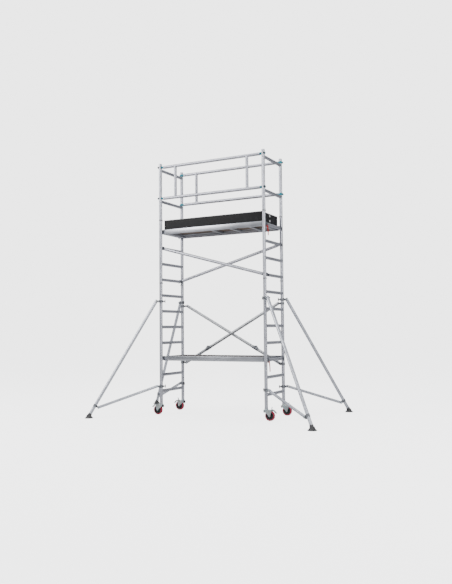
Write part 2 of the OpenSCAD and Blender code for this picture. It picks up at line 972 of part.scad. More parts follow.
// Runs its children on a rung where a diagonal ends, with the diagonal towards +X
module at_diagonal_end(sx, sy) {
    n = sx == sy ? diagonal_high_rung : diagonal_low_rung;
    translate([sx * post_x, sy * diagonal_y, rung_z(n)])
        rotate([0, 0, sx > 0 ? 180 : 0])
            children();
}

module claw_triggers() {
    color([0.15, 0.15, 0.16])
        for (sx = [-1, 1], sy = [-1, 1]) {
            for (n = [knee_rail_rung, top_rail_rung])
                at_rail_end(sx, sy, n)
                    post_trigger(sx * sy);
            at_diagonal_end(sx, sy)
                rung_trigger();
        }
}

module guardrail(sy, upright_x) {
    start = post_x - post_claw_r - claw_boss_l - seat_gap;
    knee_z = rung_z(knee_rail_rung) + rail_rise;
    top_rail_z = rung_z(top_rail_rung) + rail_rise;
    color("silver")
        translate([0, sy * rail_y, 0]) {
            for (z = [knee_z, top_rail_z])
                bar_between([-start, 0, z], [start, 0, z], rail_r, rail_wall);
            for (x = [-upright_x, upright_x])
                difference() {
                    bar_between([x, 0, knee_z], [x, 0, top_rail_z], upright_d / 2, rail_wall);
                    for (z = [knee_z, top_rail_z])
                        bar_between([x - 40, 0, z], [x + 40, 0, z], rail_r + seat_gap);
                }
        }
}

module front_guardrail() {
    guardrail(-1, post_x - front_upright_inset);
}

module rear_guardrail() {
    guardrail(1, post_x - rear_upright_inset);
}

module upper_diagonals() {
    mid_z = (rung_z(diagonal_low_rung) + rung_z(diagonal_high_rung)) / 2;
    half = post_x / cos(diagonal_angle) - rung_claw_r - claw_boss_l - seat_gap;
    color("silver")
        for (sy = [-1, 1])
            translate([0, sy * diagonal_y, mid_z])
                rotate([0, sy < 0 ? diagonal_angle : -diagonal_angle, 0])
                    bar_between([-half, 0, 0], [half, 0, 0], rail_r, rail_wall);
}

// ---- Platforms ----

// Side beams, end bars and cross bars of a platform, at its rung's height
module platform_frame(n, bars, trimmed) {
    color("silver")
        translate([0, 0, rung_z(n)]) {
            for (sy = [-1, 1])
                translate([0, sy * beam_y, 0])
                    side_beam(-sy);
            for (sx = [-1, 1])
                translate([sx * (platform_x - bar_w / 2), 0, 0])
                    box([-bar_w / 2, -deck_y, -beam_below + 6], [bar_w / 2, deck_y, beam_above]);
            for (x = bars)
                cross_bar(x, -deck_y, deck_y);
            if (trimmed)
                for (sy = [-1, 1])
                    hatch_trimmer(sy);
        }
}

// Hollow side beam with a lip under the deck towards the given side
module side_beam(inwards) {
    wall = 3;
    difference() {
        union() {
            box([-platform_x, -beam_w / 2, -beam_below], [platform_x, beam_w / 2, beam_above]);
            translate([0, inwards * (beam_w / 2 + lip / 2 - 1), bar_top - 4])
                cube([2 * deck_x, lip + 2, 8], center = true);
        }
        box([-platform_x - 1, -beam_w / 2 + wall, -beam_below + wall],
            [platform_x + 1, beam_w / 2 - wall, beam_above - wall]);
    }
}

// Bar across the platform between the lips of its beams
module cross_bar(x, y0, y1) {
    play = lip + seat_gap;
    box([x - bar_w / 2, y0 + play, bar_top - bar_h], [x + bar_w / 2, y1 - play, bar_top]);
}

// Bar along a side of the hatch, between the end bar and the hatch's cross bar
module hatch_trimmer(sy) {
    y = sy * (hatch_y1 + 7);
    x0 = -platform_x + bar_w + seat_gap;
    box([x0, y - 12, bar_top - 20], [hatch_x1 - seat_gap, y + 12, bar_top]);
}

module lower_platform_frame() {
    platform_frame(lower_rung, [-1.5, -0.5, 0.5, 1.5] * lower_bar_step, false);
}

module upper_platform_frame() {
    first = hatch_x1 + bar_w / 2;
    bars = [for (x = first; x < deck_x - bar_w; x = x + upper_bar_step) x];
    platform_frame(upper_rung, bars, true);
}

// Deck board between two corners, under the top of the beams
module deck_board(n, x0, x1, y0, y1) {
    translate([0, 0, rung_z(n) + deck_top - deck_t])
        box([x0, y0, 0], [x1, y1, deck_t]);
}

module lower_platform_deck() {
    color([0.16, 0.15, 0.15])
        deck_board(lower_rung, -deck_x, deck_x, -deck_y, deck_y);
}

module upper_platform_deck() {
    x0 = hatch_x0 - hatch_gap;
    x1 = hatch_x1 + hatch_gap;
    y1 = hatch_y1 + hatch_gap;
    color([0.16, 0.15, 0.15]) {
        deck_board(upper_rung, x1, deck_x, -deck_y, deck_y);
        deck_board(upper_rung, -deck_x, x0, -deck_y, deck_y);
        deck_board(upper_rung, x0 + seat_gap, x1 - seat_gap, y1, deck_y);
        deck_board(upper_rung, x0 + seat_gap, x1 - seat_gap, -deck_y, -y1);
    }
    hatch_hinges(false);
}

// Knuckles and leaves of the two hatch hinges: the door's half or the deck's half
module hatch_hinges(door) {
    axis_y = hatch_y1 + hatch_gap / 2;
    knuckle = 25;
    color("gray")
        for (x = [hatch_x0 + 0.2 * hatch_l, hatch_x0 + 0.8 * hatch_l])
            translate([x, axis_y, rung_z(upper_rung) + deck_top + hinge_barrel_r + face_gap])
                if (door)
                    difference() {
                        union() {
                            knuckle_barrel(0, knuckle - 2 * face_gap);
                            hinge_leaf(-1, knuckle - 2 * face_gap, 0);
                        }
                        rotate([0, 90, 0])
                            cylinder(h = 100, r = 3 + running_play, center = true);
                    }
                else
                    union() {
                        rotate([0, 90, 0])
                            cylinder(h = 3 * knuckle, r = 3, center = true);
                        for (i = [-1, 1]) {
                            knuckle_barrel(i * knuckle, knuckle);
                            hinge_leaf(1, knuckle, i * knuckle);
                        }
                    }
}

module knuckle_barrel(x, len) {
    translate([x, 0, 0])
        rotate([0, 90, 0])
            cylinder(h = len, r = hinge_barrel_r, center = true);
}

module hinge_leaf(dir, len, x) {
    translate([x, dir * 16, -hinge_barrel_r + 1 - face_gap / 2])
        cube([len, 32, 2 - face_gap], center = true);
}

module trapdoor() {
    z = rung_z(upper_rung);
    color([0.16, 0.15, 0.15])
        difference() {
            translate([0, 0, z + deck_top - deck_t + face_gap])
                box([hatch_x0, -hatch_y1, 0], [hatch_x1, hatch_y1, deck_t - face_gap]);
            translate([(hatch_x0 + hatch_x1) / 2, -hatch_y1 + 45, z + deck_top])
                cube([110, 34, 4 * deck_t], center = true);
        }
    hatch_hinges(true);
}

// Casting that hooks a platform's beam over its rung, mouth down
module platform_hook() {
    difference() {
        y_plate(beam_w - 2)
            union() {
                circle(r = hook_r);
                translate([-hook_r, -beam_below])
                    square([2 * hook_r, beam_below]);
                translate([0, -beam_below])
                    square([end_gap - seat_gap, beam_below + beam_above]);
            }
        y_pin(rung_r + seat_gap, beam_w);
        translate([-rung_r - 0.4, -beam_w, -beam_above * 2])
            cube([rung_d + 0.8, 2 * beam_w, beam_above * 2]);
    }
}

// Runs its children at each hook of the platform on rung n
module platform_hook_ends(n) {
    for (sx = [-1, 1], sy = [-1, 1])
        translate([sx * post_x, sy * beam_y, rung_z(n)])
            rotate([0, 0, sx > 0 ? 180 : 0])
                children();
}

// Every casting that hooks over a rung: the platforms' and the diagonals'
module rung_hooks() {
    color([0.3, 0.31, 0.33]) {
        for (n = [lower_rung, upper_rung]) {
            platform_hook_ends(n)
                platform_hook();
            wind_lock_place(n)
                translate([0, -2.5, 0]) {
                    y_pin(wind_pin_r, 17);
                    translate([0, 9.5, 0])
                        y_pin(wind_pin_r + 3, 4);
                }
        }
        for (sx = [-1, 1], sy = [-1, 1])
            at_diagonal_end(sx, sy)
                rung_claw(sx == sy ? diagonal_angle : -diagonal_angle);
    }
}

module wind_lock_place(n) {
    translate([wind_lock_x, wind_lock_y, rung_z(n) - wind_lock_drop])
        children();
}

module wind_lock(n) {
    bow = 9;
    steps = 6;
    nose = wind_lock_drop - rung_r - 1.5;
    outer = [for (i = [0:steps]) [7 + bow * sin(90 * i / steps), -wind_lock_l * i / steps]];
    inner = [for (i = [steps:-1:1]) [-7 + bow * sin(90 * i / steps), -wind_lock_l * i / steps]];
    color("crimson")
        wind_lock_place(n)
            difference() {
                union() {
                    y_plate(wind_lock_t)
                        polygon(concat(
                            [[-34, nose - 9], [-36, nose], [-18, nose + 2], [-4, 4]], outer, inner
                        ));
                    y_pin(10, wind_lock_t + 1);
                }
                y_pin(wind_pin_r + running_play, wind_lock_t + 3);
            }
}

// ---- Toe boards ----

module toe_boards() {
    half = platform_y - toe_t - seat_gap;
    color([0.1, 0.1, 0.11])
        translate([0, 0, toe_z]) {
            for (sy = [-1, 1])
                translate([0, sy * (platform_y - toe_t / 2), toe_h / 2])
                    cube([2 * platform_x, toe_t, toe_h], center = true);
            for (sx = [-1, 1], sy = [-1, 1])
                translate([sx * (platform_x - toe_t / 2), sy * (half + 1) / 2, toe_h / 2])
                    cube([toe_t, half - 1, toe_h], center = true);
        }
}

module toe_board_hinges() {
    plate_t = 3;
    out = platform_x + seat_gap + plate_t / 2;
    color("white")
        translate([0, 0, toe_z])
            for (sx = [-1, 1], z = [0.25, 0.75] * toe_h)
                translate([sx * out, 0, z]) {
                    cube([plate_t, 60, 30], center = true);
                    translate([sx * (plate_t / 2 + 4 - 0.5), 0, -17])
                        cylinder(h = 34, r = 4);
                }
}

caster_stems();
fork_at(FRONT_LEFT);  // caster_fork_front_left
fork_at(FRONT_RIGHT);  // caster_fork_front_right
fork_at(REAR_LEFT);  // caster_fork_rear_left
fork_at(REAR_RIGHT);  // caster_fork_rear_right
tread_at(FRONT_LEFT);  // caster_tread_front_left
tread_at(FRONT_RIGHT);  // caster_tread_front_right
tread_at(REAR_LEFT);  // caster_tread_rear_left
tread_at(REAR_RIGHT);  // caster_tread_rear_right
core_at(FRONT_LEFT);  // caster_core_front_left
core_at(FRONT_RIGHT);  // caster_core_front_right
core_at(REAR_LEFT);  // caster_core_rear_left
core_at(REAR_RIGHT);  // caster_core_rear_right
pedal_at(FRONT_LEFT);  // brake_pedal_front_left
pedal_at(FRONT_RIGHT);  // brake_pedal_front_right
pedal_at(REAR_LEFT);  // brake_pedal_rear_left
pedal_at(REAR_RIGHT);  // brake_pedal_rear_right
leg_at(FRONT_LEFT);  // stabiliser_leg_front_left
leg_at(FRONT_RIGHT);  // stabiliser_leg_front_right
leg_at(REAR_LEFT);  // stabiliser_leg_rear_left
leg_at(REAR_RIGHT);  // stabiliser_leg_rear_right
arm_at(FRONT_LEFT);  // stabiliser_arm_front_left
arm_at(FRONT_RIGHT);  // stabiliser_arm_front_right
arm_at(REAR_LEFT);  // stabiliser_arm_rear_left
arm_at(REAR_RIGHT);  // stabiliser_arm_rear_right
couplers_at(FRONT_LEFT);  // stabiliser_couplers_front_left
couplers_at(FRONT_RIGHT);  // stabiliser_couplers_front_right
couplers_at(REAR_LEFT);  // stabiliser_couplers_rear_left
couplers_at(REAR_RIGHT);  // stabiliser_couplers_rear_right
foot_at(FRONT_LEFT);  // stabiliser_foot_front_left
foot_at(FRONT_RIGHT);  // stabiliser_foot_front_right
foot_at(REAR_LEFT);  // stabiliser_foot_rear_left
foot_at(REAR_RIGHT);  // stabiliser_foot_rear_right
base_frame(-1);  // base_frame_left
base_frame(1);  // base_frame_right
extension_frame(-1);  // extension_frame_left
extension_frame(1);  // extension_frame_right
guard_frame(-1);  // guard_frame_left
guard_frame(1);  // guard_frame_right
spigots();
interlock_clips();
brace_collars();
brace_main_arms();
brace_lower_arms();
brace_hinges();
upper_diagonals();
rail_claws();
claw_triggers();
front_guardrail();
rear_guardrail();
lower_platform_frame();
lower_platform_deck();
upper_platform_frame();
upper_platform_deck();
rung_hooks();
trapdoor();
wind_lock(lower_rung);  // wind_lock_lower
wind_lock(upper_rung);  // wind_lock_upper
toe_boards();
toe_board_hinges();
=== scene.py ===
import json
from math import atan2, cos, pi, radians, sin, sqrt

import bpy
from mathutils import Matrix, Vector


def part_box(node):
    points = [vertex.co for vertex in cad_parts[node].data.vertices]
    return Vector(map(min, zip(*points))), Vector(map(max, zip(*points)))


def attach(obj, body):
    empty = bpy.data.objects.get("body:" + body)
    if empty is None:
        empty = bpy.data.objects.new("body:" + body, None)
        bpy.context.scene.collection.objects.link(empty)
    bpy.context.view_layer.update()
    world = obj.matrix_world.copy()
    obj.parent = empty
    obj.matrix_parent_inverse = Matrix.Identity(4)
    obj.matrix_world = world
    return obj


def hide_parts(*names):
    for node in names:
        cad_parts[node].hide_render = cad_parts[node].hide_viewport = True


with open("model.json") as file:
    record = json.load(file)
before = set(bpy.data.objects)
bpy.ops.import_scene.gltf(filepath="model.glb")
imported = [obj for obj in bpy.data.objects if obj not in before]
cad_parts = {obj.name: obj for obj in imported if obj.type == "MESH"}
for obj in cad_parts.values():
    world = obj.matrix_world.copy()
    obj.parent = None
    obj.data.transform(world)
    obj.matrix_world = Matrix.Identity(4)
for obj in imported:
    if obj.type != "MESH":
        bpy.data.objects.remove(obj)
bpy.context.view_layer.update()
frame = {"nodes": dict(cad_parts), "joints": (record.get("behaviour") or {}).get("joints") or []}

# ---- Sizes, in metres, read from the frame where it holds them ----


def joint_place(name):
    return next(j["pos_m"] for j in frame["joints"] if j["name"] == name)


CLEAR = 0.00005  # between a modelled piece and the one that it wraps or stands beside

base_low, base_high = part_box("base_frame_left")
POST_R = (base_high.x - base_low.x) / 2
POST_X = -(base_low.x + base_high.x) / 2
POST_Y = base_high.y - POST_R
POST_BOTTOM = base_low.z
LOW_JOINT = base_high.z
HIGH_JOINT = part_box("extension_frame_left")[1].z
FIRST_RUNG = 0.37
RUNG_PITCH = 0.25
RUNG_R = 0.024
BASE_RUNGS = range(1, 8)
EXTENSION_RUNGS = range(8, 12)
DIAGONAL_LOW_RUNG, DIAGONAL_HIGH_RUNG = EXTENSION_RUNGS[0], EXTENSION_RUNGS[2]
GUARD_BARS = (13, 15)
LOWER_RUNG, UPPER_RUNG = 3, 11

tread_low, tread_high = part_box("caster_tread_front_right")
WHEEL_R = (tread_high.z - tread_low.z) / 2
TREAD_W = tread_high.y - tread_low.y
TRAIL = (tread_low.x + tread_high.x) / 2 - POST_X
core_low, core_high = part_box("caster_core_front_right")
RIM_R = core_high.z - WHEEL_R
HUB_W = core_high.y - core_low.y
HUB_R = 0.016
AXLE_R = 0.006
FORK_IN = HUB_W / 2 + 0.001
FORK_T = 0.004
CROWN_Z = 2 * WHEEL_R + 0.003
RACE_R = 0.028
FLANGE_Z = POST_BOTTOM - 0.004
PEDAL_X = TRAIL + 0.026
FORK_BACK = -RACE_R - 0.004
FORK_FRONT = PEDAL_X - 0.012
PEDAL_Z = joint_place("brake_front_right")[2]

RAIL_R = 0.024
rail_low, rail_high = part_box("front_guardrail")
RAIL_Y = -(rail_low.y + rail_high.y) / 2
RAIL_RISE = 0.045
RAIL_INSET = POST_Y - RAIL_Y
UPRIGHT_R = 0.0225
UPRIGHT_INSET = {"front": 0.273, "rear": 0.294}
DIAGONAL_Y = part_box("upper_diagonals")[1].y - RAIL_R
POST_CLAW_R = POST_R + 0.008
RUNG_CLAW_R = RUNG_R + 0.008
CLAW_W = 0.034
BOSS_R = 0.020
BOSS_L = 0.022
TRIGGER_W = 0.0176
MOUTH_GAP = 0.0004
CLIP_RISE = 0.042

WIND_LOCK_X = joint_place("upper_wind_lock_pivot")[0]
WIND_LOCK_BELOW = 0.020

platform_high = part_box("upper_platform_frame")[1]
PLATFORM_X = platform_high.x
PLATFORM_Y = platform_high.y
BEAM_W = 0.028
BEAM_BELOW = 0.030
BEAM_ABOVE = 0.045
DECK_TOP = 0.042
DECK_T = 0.012
CROSS_BAR_W = 0.040
LOWER_BARS = [0.36 * (i - 1.5) for i in range(4)]
UPPER_BARS = [0.33 * i - 0.11 for i in range(3)]
TRIMMER_Y = 0.217

LEG_R = 0.024
ARM_R = 0.021
STAB_TOP = 1.775
STAB_LOW = 0.440
STAB_CLAMP = 0.185
STAB_REACH = 1.120
PIVOT_R = POST_R + 0.050
LEG_END_Z = 0.032
LEG_TILT = atan2(STAB_REACH - PIVOT_R, STAB_TOP - LEG_END_Z)
LEG_LENGTH = (STAB_TOP - LEG_END_Z) / cos(LEG_TILT)
CLAMP_X = PIVOT_R + (STAB_TOP - STAB_CLAMP) * sin(LEG_TILT) / cos(LEG_TILT)
EAR_REACH = LEG_R + 0.034
EAR_T = 0.006
EAR_GAP = 0.0003
COUPLER_H = 0.042
COUPLER_WALL = 0.006

SIDES = {"left": -1, "right": 1}
# Each corner: side along X, side along Y, direction of its stabiliser in degrees
CORNERS = {
    "front_left": (-1, -1, 226),
    "front_right": (1, -1, -34),
    "rear_left": (-1, 1, 146),
    "rear_right": (1, 1, 46),
}


def rung_z(n):
    return FIRST_RUNG + (n - 1) * RUNG_PITCH


# ---- Finishes ----

SHADER_SOCKETS = {"coat": "Coat Weight", "specular": "Specular IOR Level"}


class Value:
    """A number that varies from point to point. Arithmetic on it adds Math nodes."""

    def __init__(self, nodes, socket):
        self.nodes = nodes
        self.socket = socket

    def maths(self, operation, *values):
        node = self.nodes.node("ShaderNodeMath", {"operation": operation}, dict(enumerate(values)))
        return Value(self.nodes, node.outputs[0])

    def __add__(self, other):
        return self.maths("ADD", self, other)

    def __sub__(self, other):
        return self.maths("SUBTRACT", self, other)

    def __rsub__(self, other):
        return self.maths("SUBTRACT", other, self)

    def __mul__(self, other):
        return self.maths("MULTIPLY", self, other)

    __radd__ = __add__
    __rmul__ = __mul__

    def __abs__(self):
        return self.maths("ABSOLUTE", self)

    def wave(self):
        return self.maths("SINE", self)

    def over(self, edge):
        return self.maths("GREATER_THAN", self, edge)

    def or_less(self, other):
        return self.maths("MINIMUM", self, other)

    def ramp(self, low, high):
        """0 below low, 1 above high, and smooth between them."""
        node = self.nodes.node(
            "ShaderNodeMapRange",
            {"interpolation_type": "SMOOTHSTEP"},
            {"Value": self, "From Min": low, "From Max": high},
        )
        return Value(self.nodes, node.outputs["Result"])


class Nodes:
    """The node tree of a material or of the studio's light."""

    def __init__(self, owner):
        owner.use_nodes = True
        self.tree = owner.node_tree

    def node(self, kind, settings=None, sockets=None):
        """Adds a node: first its settings, then the values or links of its sockets."""
        node = self.tree.nodes.new(kind)
        for key, value in (settings or {}).items():
            if key == "stops":
                for stop, (place, colour) in zip(node.color_ramp.elements, value):
                    stop.position, stop.color = place, (*colour, 1.0)
            else:
                setattr(node, key, value)
        for key, value in (sockets or {}).items():
            self.plug(node.inputs[key], value)
        return node

    def plug(self, socket, value):
        value = value.socket if isinstance(value, Value) else value
        if isinstance(value, bpy.types.NodeSocket):
            self.tree.links.new(value, socket)
        else:
            socket.default_value = value


class Finish(Nodes):
    """A material under way, with its shader and the place on the surface."""

    def __init__(self, name, colour, roughness, metallic=0.0, **fixed):
        self.material = bpy.data.materials.new(name)
        super().__init__(self.material)
        self.shader = self.tree.nodes["Principled BSDF"]
        self.shader.inputs["Base Color"].default_value = (*colour, 1.0)
        self.shader.inputs["Roughness"].default_value = roughness
        self.shader.inputs["Metallic"].default_value = metallic
        for key, value in fixed.items():
            self.shader.inputs[SHADER_SOCKETS[key]].default_value = value
        self.place = self.node("ShaderNodeTexCoord").outputs["Object"]
        split = self.node("ShaderNodeSeparateXYZ", {}, {0: self.place})
        self.x, self.y, self.z = (Value(self, split.outputs[i]) for i in range(3))

    def noise(self, scale, stretch=(1, 1, 1), detail=3.0):
        """Noise from 0 to 1. A stretch below 1 draws it out along that axis."""
        mapping = self.node("ShaderNodeMapping", {}, {"Vector": self.place, "Scale": stretch})
        noise = self.node(
            "ShaderNodeTexNoise",
            {},
            {"Vector": mapping.outputs[0], "Scale": scale, "Detail": detail},
        )
        return Value(self, noise.outputs["Fac"])

    def cells(self, scale):
        cells = self.node("ShaderNodeTexVoronoi", {}, {"Vector": self.place, "Scale": scale})
        return Value(self, cells.outputs["Distance"])

    def facing(self, axis):
        """The surface's normal along one of the piece's own axes, from -1 to 1."""
        normal = self.node("ShaderNodeNewGeometry").outputs["True Normal"]
        own = self.node(
            "ShaderNodeVectorTransform",
            {"vector_type": "NORMAL", "convert_from": "WORLD", "convert_to": "OBJECT"},
            {0: normal},
        )
        split = self.node("ShaderNodeSeparateXYZ", {}, {0: own.outputs[0]})
        return Value(self, split.outputs["XYZ".index(axis)])

    def mix(self, mask, *colours):
        """The first colour where the mask is 0 and the second where it is 1."""
        first, second = ((*c, 1.0) if isinstance(c, tuple) else c for c in colours)
        node = self.node("ShaderNodeMix", {"data_type": "RGBA"}, {0: mask, 6: first, 7: second})
        return node.outputs[2]

    def colour(self, socket):
        self.plug(self.shader.inputs["Base Color"], socket)
        return self

    def roughness(self, value):
        self.plug(self.shader.inputs["Roughness"], value)
        return self

    def metallic(self, value):
        self.plug(self.shader.inputs["Metallic"], value)
        return self

    def bump(self, height, distance, strength=0.5):
        node = self.node(
            "ShaderNodeBump", {}, {"Height": height, "Distance": distance, "Strength": strength}
        )
        self.plug(self.shader.inputs["Normal"], node.outputs[0])
        return self


def shade(colour, factor):
    return tuple(min(1.0, c * factor) for c in colour)


def drawn_tube(name, colour, stretch, rough=0.34):
    """Extruded aluminium: fine lines along the tube, broad tarnish and a few scuffs."""
    f = Finish(name, colour, rough, metallic=1.0)
    lines = f.noise(900, stretch, 2.0)
    tarnish = f.noise(7, detail=4.0)
    scuffs = f.noise(60, detail=5.0).ramp(0.60, 0.74)
    tone = f.mix(tarnish.ramp(0.3, 0.7), shade(colour, 0.86), shade(colour, 1.06))
    f.colour(f.mix(scuffs * 0.5, tone, shade(colour, 0.72)))
    f.roughness(tarnish * 0.16 + lines * 0.10 + scuffs * 0.14 + (rough - 0.12))
    return f.bump(lines + scuffs * 0.6, 0.0002, 0.08).material


def ladder_frame_finish():
    """Post lines run up, rung lines run across; dull heat marks lie beside the welds. The rungs carry
    painted shade, and their upper halves a painted highlight along with foot wear.
    """
    colour = (0.64, 0.65, 0.71)
    f = Finish("frame_alloy", colour, 0.36, metallic=1.0)
    on_post = abs(f.y).over(POST_Y - POST_R)
    up = f.noise(900, (1, 1, 0.02), 2.0)
    across = f.noise(900, (1, 0.02, 1), 2.0)
    on_rung = 1 - on_post
    lines = on_post * up + on_rung * across
    tarnish = f.noise(6, detail=4.0)
    heat = on_rung * abs(f.y).ramp(POST_Y - POST_R - 0.020, POST_Y - POST_R)
    # Painted highlight: the upper half of each rung is lighter, as if lit from above; wear where feet
    # tread adds to it
    worn_and_lit_rung_top = on_rung * f.facing("Z").ramp(0.2, 0.8)
    tone = f.mix(tarnish.ramp(0.3, 0.7), shade(colour, 0.88), shade(colour, 1.05))
    # Painted shade: the rungs are darker than the posts of the same alloy
    shaded_rung_tone = f.mix(on_rung * 0.6, tone, shade(colour, 0.60))
    tone = f.mix(worn_and_lit_rung_top * 0.25, shaded_rung_tone, shade(colour, 1.10))
    f.colour(f.mix(heat * 0.45, tone, shade(colour, 0.55)))
    f.roughness(tarnish * 0.16 + lines * 0.10 + heat * 0.15 + 0.30)
    return f.bump(lines, 0.0002, 0.08).material


def cast_metal(name, colour, rough=0.5):
    """Sand-blasted casting with a fine skin and rubbed high spots."""
    f = Finish(name, colour, rough, metallic=0.9)
    skin = f.noise(700)
    rubbed = f.noise(45, detail=4.0).ramp(0.5, 0.75)
    f.colour(f.mix(rubbed, shade(colour, 0.9), shade(colour, 1.25)))
    f.roughness(rubbed * -0.15 + skin * 0.1 + rough)
    return f.bump(skin, 0.0004, 0.5).material


def zinc_plate():
    """Bright zinc with a spangle and faint blue and straw tints."""
    colour = (0.50, 0.56, 0.58)
    f = Finish("zinc_plate", colour, 0.3, metallic=1.0)
    spangle = f.cells(260)
    tint = f.noise(28, detail=2.0).ramp(0.35, 0.65)
    tone = f.mix(tint, (0.46, 0.55, 0.60), (0.60, 0.60, 0.54))
    f.colour(f.mix(spangle.ramp(0.2, 0.7) * 0.35, tone, shade(colour, 1.25)))
    f.roughness(spangle * 0.12 + 0.26)
    return f.bump(spangle, 0.0001, 0.2).material


def moulded(name, colour, rough, grain=500, dust=0.25):
    """Moulded plastic or rubber: fine grain and a little dust in the low places."""
    f = Finish(name, colour, rough)
    skin = f.noise(grain)
    film = f.noise(20, detail=5.0).ramp(0.45, 0.75)
    f.colour(f.mix(film * dust, colour, (0.34, 0.33, 0.31)))
    f.roughness(film * 0.15 + skin * 0.08 + (rough - 0.05))
    return f.bump(skin, 0.0003, 0.4).material


def tyre_finish():
    """Crimson polyurethane, scuffed all over, with painted shade low down where it stands on the
    floor.
    """
    colour = (0.42, 0.012, 0.055)
    f = Finish("crimson_tyre", colour, 0.38, coat=0.15)
    streaks = f.noise(80, (1, 0.15, 1), 4.0).ramp(0.45, 0.72)
    mottle = f.noise(14)
    # Painted shade: the bottom of the tyre, where it meets the floor, is darkened
    low = 1 - f.z.ramp(0.002, 0.012)
    tone = f.mix(mottle.ramp(0.3, 0.7), shade(colour, 0.8), (0.52, 0.02, 0.07))
    # Scuffs and the painted floor shade darken the tyre together
    f.colour(f.mix(streaks * 0.35 + low * 0.3, tone, (0.10, 0.02, 0.03)))
    f.roughness(streaks * 0.25 + 0.34)
    return f.bump(streaks, 0.0003, 0.4).material


def powder_coat(name, colour, rough=0.4):
    """Powder coat with orange peel and small chips down to the metal."""
    bare = (0.45, 0.46, 0.47)
    f = Finish(name, colour, rough, coat=0.1)
    peel = f.noise(420, detail=2.0)
    chipped = f.noise(150, detail=6.0).ramp(0.70, 0.74)
    fade = f.noise(12).ramp(0.3, 0.7)
    f.colour(f.mix(chipped, f.mix(fade, shade(colour, 0.85), shade(colour, 1.1)), bare))
    f.roughness(peel * 0.12 + chipped * 0.2 + (rough - 0.06))
    f.metallic(chipped * 0.8)
    return f.bump(peel, 0.0002, 0.4).material


def deck_finish():
    """Film-faced plywood: a raised grip mesh on top, brown film below, plies on the edges."""
    dark = (0.060, 0.050, 0.046)
    f = Finish("grip_plywood", dark, 0.55, specular=0.22)
    top = f.facing("Z").over(0.5)
    under = (-1 * f.facing("Z")).over(0.5)
    rising = abs((f.x * 520 + f.y * 300).wave())
    falling = abs((f.x * 520 - f.y * 300).wave())
    mesh = rising.or_less(falling).ramp(0.0, 0.35)
    grit = f.noise(60, detail=4.0).ramp(0.42, 0.75)
    plies = (f.z * 3800).wave().ramp(-0.3, 0.3)
    grain = f.noise(120, (0.04, 1, 1), 4.0)
    face = f.mix(mesh * 0.5, shade(dark, 1.6), dark)
    face = f.mix(grit * 0.3 * top, face, (0.16, 0.145, 0.13))
    below = f.mix(grain, (0.105, 0.070, 0.050), (0.175, 0.120, 0.085))
    edge = f.mix(plies, (0.30, 0.20, 0.12), (0.48, 0.36, 0.23))
    f.colour(f.mix(under, f.mix(top, edge, face), below))
    f.roughness(mesh * 0.12 * top + grit * 0.12 + 0.44)
    return f.bump(mesh * -1 * top + grain * 0.2, 0.0007, 0.6).material


def toe_board_finish(top_z):
    """Black film-faced board with a pale rubbed top edge."""
    dark = (0.006, 0.006, 0.007)
    f = Finish("toe_board_film", dark, 0.5, specular=0.18)
    weave = f.noise(240, (0.3, 0.3, 1), 3.0)
    rubbed = f.noise(18, detail=5.0).ramp(0.50, 0.72)
    top = f.z.ramp(top_z - 0.0072, top_z - 0.0060)
    plies = f.noise(300, (0.05, 1, 1), 4.0)
    pale = f.mix(plies, (0.34, 0.34, 0.345), (0.50, 0.50, 0.51))
    face = f.mix(rubbed * 0.3, dark, (0.040, 0.040, 0.043))
    f.colour(f.mix(top, face, pale))
    f.roughness(rubbed * 0.2 + weave * 0.08 + top * 0.2 + 0.34)
    return f.bump(weave, 0.0003, 0.4).material


def beam_finish():
    """Platform beam: extrusion lines along X, broad tarnish and a few darker knocks."""
    colour = (0.53, 0.54, 0.58)
    f = Finish("platform_alloy", colour, 0.38, metallic=1.0)
    lines = f.noise(700, (0.02, 1, 1), 2.0)
    knocks = f.noise(55, (0.6, 1, 1), 5.0).ramp(0.6, 0.72)
    tarnish = f.noise(5, (0.6, 1, 1), 4.0).ramp(0.3, 0.7)
    tone = f.mix(tarnish, shade(colour, 0.84), shade(colour, 1.05))
    f.colour(f.mix(knocks * 0.5, tone, shade(colour, 0.6)))
    f.roughness(tarnish * 0.12 + lines * 0.12 + knocks * 0.1 + 0.26)
    return f.bump(lines + knocks, 0.0002, 0.10).material


FRAME_ALLOY = ladder_frame_finish()
# The rails' aluminium is painted darker than the frame's, painted shade to tone down their lit upper
# sides; the legs' is painted lighter, painted light against the shade low on the tower
RAIL_ALLOY = drawn_tube("rail_alloy", (0.54, 0.545, 0.60), (0.02, 1, 1), 0.42)
LEG_ALLOY = drawn_tube("leg_alloy", (0.66, 0.68, 0.74), (0.3, 0.3, 0.05), 0.40)
BRACE_ALLOY = drawn_tube("brace_alloy", (0.54, 0.55, 0.57), (0.05, 1, 0.2), 0.42)
PLATFORM_ALLOY = beam_finish()
CAST_ALLOY = cast_metal("cast_fitting", (0.26, 0.27, 0.29))
HOOK_ALLOY = cast_metal("hook_casting", (0.20, 0.21, 0.23))
WELD_ALLOY = cast_metal("weld_bead", (0.55, 0.57, 0.60), 0.42)
ZINC = zinc_plate()
TYRE = tyre_finish()
NYLON = moulded("black_nylon", (0.012, 0.020, 0.020), 0.34, 350, 0.15)
RUBBER = moulded("foot_rubber", (0.050, 0.050, 0.053), 0.62, 260, 0.4)
COLLAR_PLASTIC = moulded("clip_collar", (0.36, 0.37, 0.40), 0.42)
CLIP_PLASTIC = moulded("clip_plastic", (0.045, 0.046, 0.050), 0.45)
KNOB_PLASTIC = moulded("wing_knob", (0.030, 0.031, 0.034), 0.42)
WHITE_PLASTIC = moulded("white_hinge", (0.58, 0.58, 0.57), 0.4, 400, 0.12)
BLACK_COAT = powder_coat("pedal_black", (0.030, 0.034, 0.036))
GREY_COAT = powder_coat("pedal_grey", (0.30, 0.36, 0.37))
TEAL_COAT = powder_coat("claw_teal", (0.010, 0.235, 0.300), 0.36)
